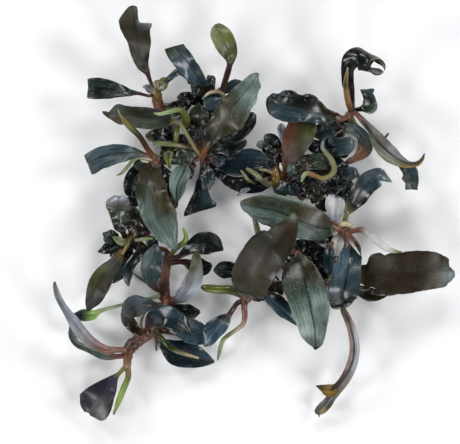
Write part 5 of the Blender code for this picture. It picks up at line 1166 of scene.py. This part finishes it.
        roots=[[(22.6, 15, 1.2, 0.5), (26, 13.2, 0.5, 0.4), (28.4, 10.6, 0.4, 0.2)],
               [(24.4, 19.6, 1.4, 0.5), (20.2, 22.6, 0.5, 0.4), (18.6, 27, 0.4, 0.2)]],
    ),
    "middle": dict(
        crown=(7.2, 9.9, 3.8),
        stem=[(15.6, 4.4, 1, 1.3), (12.4, 7.2, 1.2, 1.5), (9.6, 9.2, 2, 1.6), (8, 10.6, 3.8, 1.5),
            (8.8, 13, 5.4, 1.1)],
        bark=["rust", "redBrown", "rust", "orangeBrown", "rust"],
        leaves=[
            dict(finish="leafOlive", root=(8.6, 10, 3.4), paint=["rust", "redBrown", "rust/oliveBrown",
                "rust/olive", "rust/oliveGreen",
                 "rust/oliveGreen", "olive", "olive"], ribs=0.4,
                     # the grey-green patch near the right edge is a painted highlight
                     marks=[(0.62, 0.8, 0.1, 0.3, "greyGreen", 0.7)], at=[
                (9.3, 12.6, 5.6, 0.95, 0.95), (9.6, 14.4, 6.6, 1, 1), (10.2, 16.2, 7.6, 1.9, 2.1),
                (11.4, 18.9, 9, 3.1, 3.9),
                (12.9, 21.9, 10.2, 4.2, 4.5), (14.1, 24.9, 10.8, 4.2, 5), (15.1, 27.6, 10.6, 3.3, 4.2),
                (16.2, 30, 10.2, 0.4, 0.4)]),
        ],
        small=[
            dict(paint=["redBrown", "silver", "silver", "greyGreen"], at=[
                (11.2, 10.6, 5, 0.6, 0.6), (11.3, 12.4, 6.8, 1.2, 1.2), (11.6, 14.2, 7.4, 1.2, 1),
                (11.6, 15.6, 7.2, 0.2, 0.2)]),
            dict(paint=["redBrown", "blackGreen", "teal", "slate", "ink"], at=[
                (8.2, 18, 4.6, 0.8, 0.8), (6.8, 20.2, 6, 2, 2), (5.4, 21.8, 6.6, 2.4, 2.2),
                (4, 22.4, 6.2, 1.6, 1.4),
                (3.2, 22.4, 5.8, 0.3, 0.3)]),
            dict(paint=["lilac", "lilac", "paleGrey", "lilac"], wave=0.1, at=[
                (9, 21.6, 6, 0.5, 0.5), (8.6, 23.4, 7.4, 0.9, 0.9), (8.5, 25.2, 8, 1.25, 1.25),
                (8.5, 26.4, 7.8, 0.9, 0.9),
                (8.5, 26.9, 7.6, 0.2, 0.2)]),
            dict(paint=["redBrown", "ink", "slate", "greyGreen", "ink"], ribs=0.8, at=[
                (8.4, 10, 4.4, 0.8, 0.8), (8.8, 8.6, 6, 1.9, 1.9), (9, 6.8, 6.6, 2.2, 2.2),
                (9, 5.4, 6.2, 1.5, 1.5), (9.2, 4.4, 5.8, 0.3, 0.3)]),
            dict(paint=["silver", "silver", "paleSilver", "silver"], at=[
                (4.4, 19.2, 4.4, 0.6, 0.6), (3.1, 20.3, 5.8, 1.4, 1.3), (1.9, 20.6, 6, 1.3, 1.2),
                (1, 20.4, 5.6, 0.3, 0.3)]),
            dict(paint=["silver", "silver", "paleSilver"], at=[
                (6, 16, 4.6, 0.5, 0.5), (4.6, 17, 6, 0.8, 0.8), (3.2, 17.9, 6, 0.8, 0.8),
                (2.4, 18.2, 5.6, 0.2, 0.2)]),
            dict(paint=["redBrown", "ink", "ink", "ink", "oliveDark"], at=[
                (6.2, 10, 4, 0.9, 0.9), (2, 8.4, 5.4, 2.2, 2.2), (-2.6, 8.8, 6, 2.9, 3),
                (-7, 10.4, 6, 2.6, 2.8), (-10.8, 12, 5.4, 0.5, 0.5)]),
            dict(paint=["olive", "olive", "oliveBrown", "olive"], at=[
                (13.2, 14.2, 5.4, 0.8, 0.8), (14.6, 15.4, 7, 1.3, 1.3), (16.4, 15.2, 7.4, 1.6, 1.4),
                (18, 14.2, 7.2, 1, 1),
                (18.8, 13.8, 6.8, 0.3, 0.3)]),
            dict(paint=["lilac", "lilac", "paleSilver", "lilac"], at=[
                (-1, 7.2, 6, 0.4, 0.4), (-2.4, 6.8, 6.8, 0.8, 0.8), (-3.8, 6, 6.8, 0.8, 0.7),
                (-4.8, 5.2, 6.4, 0.2, 0.2)]),
        ],
        fill=[
            (8.6, 13, 4.6, 150, 6, 2, "ink", "blackGreen"), (10.4, 9.6, 4.6, 30, 6.4, 2, "ink", "slate"),
            (12, 8.4, 4.4, 60, 7, 2, "ink", "teal"), (12.4, 7.6, 4.2, 5, 6.6, 2, "ink", "navy"),
            (9.6, 9.8, 4, -50, 6, 2, "ink", "slate"), (7, 12, 3.8, 170, 7, 2, "ink", "oliveDark"),
            (9, 15.8, 5, 150, 5.6, 2, "blackGreen", "olive"), (13.4, 9.4, 5, 85, 7, 2, "olive", "oliveDark"),
            (14.6, 8, 4.8, 40, 6, 1.9, "ink", "teal"), (13, 6.8, 4.4, -10, 6.6, 2, "ink", "umber"),
            (16.2, 6.4, 4.4, 55, 6, 2, "oliveDark", "greyGreen"), (9, 18.4, 5, 175, 6.4, 1.9, "ink",
            "blackGreen"),
            (8, 15, 4.6, 200, 6, 1.8, "ink", "umber"), (15, 5.6, 4.4, 20, 6.4, 2, "ink", "greyGreen"),
            (3.4, 9.6, 4.4, 150, 7, 2.2, "ink", "ink"),
        ],
        shoots=[
            dict(paint=["oliveBrown", "tan", "tan", "sage", "tan", "tan"], at=[
                (6.8, 9.4, 5, 0.8), (4.6, 8.7, 7, 0.8), (2.7, 9.8, 8.6, 0.8), (1.3, 11.3, 9.2, 0.8),
                (-0.4, 12.4, 9.6, 0.7),
                (-2, 13.4, 9.8, 0.4)]),
            dict(paint=["oliveBrown", "golden", "tan", "tan"], at=[
                (7.6, 10.2, 5.4, 0.7), (6.6, 11.1, 7.4, 0.55), (5.1, 12.3, 9, 0.5), (3.6, 12.9, 9.4, 0.45),
                (1.8, 13, 9.4, 0.3)]),
            dict(paint=["tan", "sage", "tan"], at=[
                (0.8, 8.8, 6.8, 0.35), (-1.4, 9.9, 8.8, 0.5), (-2.6, 11.4, 9.4, 0.5),
                (-3.6, 12.9, 9.6, 0.25)]),
            dict(paint=["oliveBrown", "golden", "oliveGreen", "oliveBrown"], at=[
                (6.9, 14.4, 5.4, 0.8), (6.6, 11.4, 6.4, 1.3), (6.9, 8.6, 5.4, 1.4), (7.2, 6.4, 4, 1)]),
            dict(paint=["cream", "white", "cream"], at=[(8.6, 12.6, 6.4, 0.3), (8.3, 13.9, 7.4, 0.5),
                (8.1, 15, 7.4, 0.2)]),
        ],
        roots=[[(12, 7.4, 1.4, 0.5), (14.6, 11, 0.5, 0.4), (18.6, 12.4, 0.4, 0.2)],
               [(11, 8, 1.4, 0.5), (7, 5, 0.5, 0.4), (4.4, 2, 0.4, 0.2)]],
    ),
}


def tube(points, **looks):  # a round stalk from x, y, z, radius
    return looks | {"at": [(x, y, z, r, r) for x, y, z, r in points], "round": True}


def shortLeaf(x, y, z, heading, length, width,
    *paint):  # a small arching leaf from its base; heading in degrees
    east, north = math.cos(math.radians(heading)) * length, math.sin(math.radians(heading)) * length
    shape = ((0, 0, 0.4), (0.22, 0.8, 0.55), (0.45, 1.5, 0.95), (0.7, 1.7, 1), (0.9, 1.2, 0.5),
        (1, 0.8, 0.12))
    at = [(x + east * share, y + north * share, z + rise, width * reach, width * reach) for share, rise,
        reach in shape]
    return dict(at=at, paint=["redBrown", *paint], wave=0.6, waves=3)


bark = ["rust", "pinkBrown", "redBrown", "orangeBrown", "cream"]
seed = 1.0
for place, plant in plants.items():
    for i, leaf in enumerate(plant["leaves"], 1):
        seed += 1.37
        root = leaf.get("root", plant["crown"])
        grown = leaf | {"at": [(*root, 1, 1)] + leaf["at"]}
        growPiece(f"{place}Leaf{i}", [grown, *leaf.get("flaps", [])], leaf["finish"], [f"leaf_{place}_{i}"],
            seed,
                  **leaf.get("sizes", {}))
    if "spear" in plant:
        seed += 1.37
        shoot = plant["spear"]
        start = [(*plant["crown"], 0.9)] if place != "northeast" and place != "inner" else []
        growPiece(f"{place}Spear", [tube(start + shoot["at"], paint=shoot["paint"], lumps=0.1)],
                  "stem" if place == "northeast" else "leafYoung", [f"spear_{place}"], seed)
    seed += 1.37
    growPiece(f"{place}Stem", [tube(plant["stem"], paint=plant.get("bark", bark), knots=0.16, lumps=0.2)]
              + [tube(root, paint=["pinkBrown", "tan", "redBrown"], lumps=0.2) for root in plant["roots"]],
              "stem", [f"rhizome_{place}"], seed, Sides=18)
    shoots = [tube(shoot["at"], paint=shoot["paint"], lumps=0.1) for shoot in plant.get("shoots", [])]
    fill = [shortLeaf(*entry) for entry in plant.get("fill", [])]
    growPiece(f"{place}Small", plant["small"] + fill + shoots, "leafDark", [f"rhizome_{place}"], seed + 0.5)
print("guides:", len(guides))
settle()

# studio: pale table, soft light from the sides, a weak sky
light = {"sky": (0.035, 0.045, 0.06), "skyPower": 1.0, "sidePower": 1.9, "sideReach": 0.65, "sideRise": 0.75,
         "boxSize": 0.24, "table": 0.97}
tableTop = bpy.data.materials.new("tableTop")
tableTop.use_nodes = True
tableTop.node_tree.nodes["Principled BSDF"].inputs["Base Color"].default_value = (*[light["table"]] * 3, 1)
tableTop.node_tree.nodes["Principled BSDF"].inputs["Roughness"].default_value = 0.9
plane = bpy.data.meshes.new("table")
plane.from_pydata([(-1.5, -1.5, 0), (1.5, -1.5, 0), (1.5, 1.5, 0), (-1.5, 1.5, 0)], [], [(0, 1, 2, 3)])
plane.materials.append(tableTop)
table = bpy.data.objects.new("table", plane)
table.location.z = cadBox[0].z - 0.0002
bpy.context.scene.collection.objects.link(table)

world = bpy.data.worlds.new("sky")
world.use_nodes = True
world.node_tree.nodes["Background"].inputs["Color"].default_value = (*light["sky"], 1)
world.node_tree.nodes["Background"].inputs["Strength"].default_value = light["skyPower"]
bpy.context.scene.world = world
for i in range(6):
    around = math.tau * i / 6 + 0.3
    lamp = bpy.data.lights.new(f"softbox{i}", "AREA")
    lamp.energy, lamp.size = light["sidePower"], light["boxSize"]
    holder = bpy.data.objects.new(f"softbox{i}", lamp)
    holder.location = Vector((math.cos(around), math.sin(around), light["sideRise"])) * light["sideReach"]
    holder.rotation_euler = (-holder.location).to_track_quat("-Z", "Y").to_euler()
    bpy.context.scene.collection.objects.link(holder)

lens = bpy.data.cameras.new("camera")
lens.sensor_width, lens.clip_end = 36, 20
lens.lens = 36 * 6000 / 138
camera = bpy.data.objects.new("camera", lens)
camera.location = (-0.0069, -0.0027, 6.0)
bpy.context.scene.collection.objects.link(camera)
bpy.context.scene.camera = camera
bpy.context.scene.view_settings.view_transform = "Standard"

bpy.context.view_layer.update()
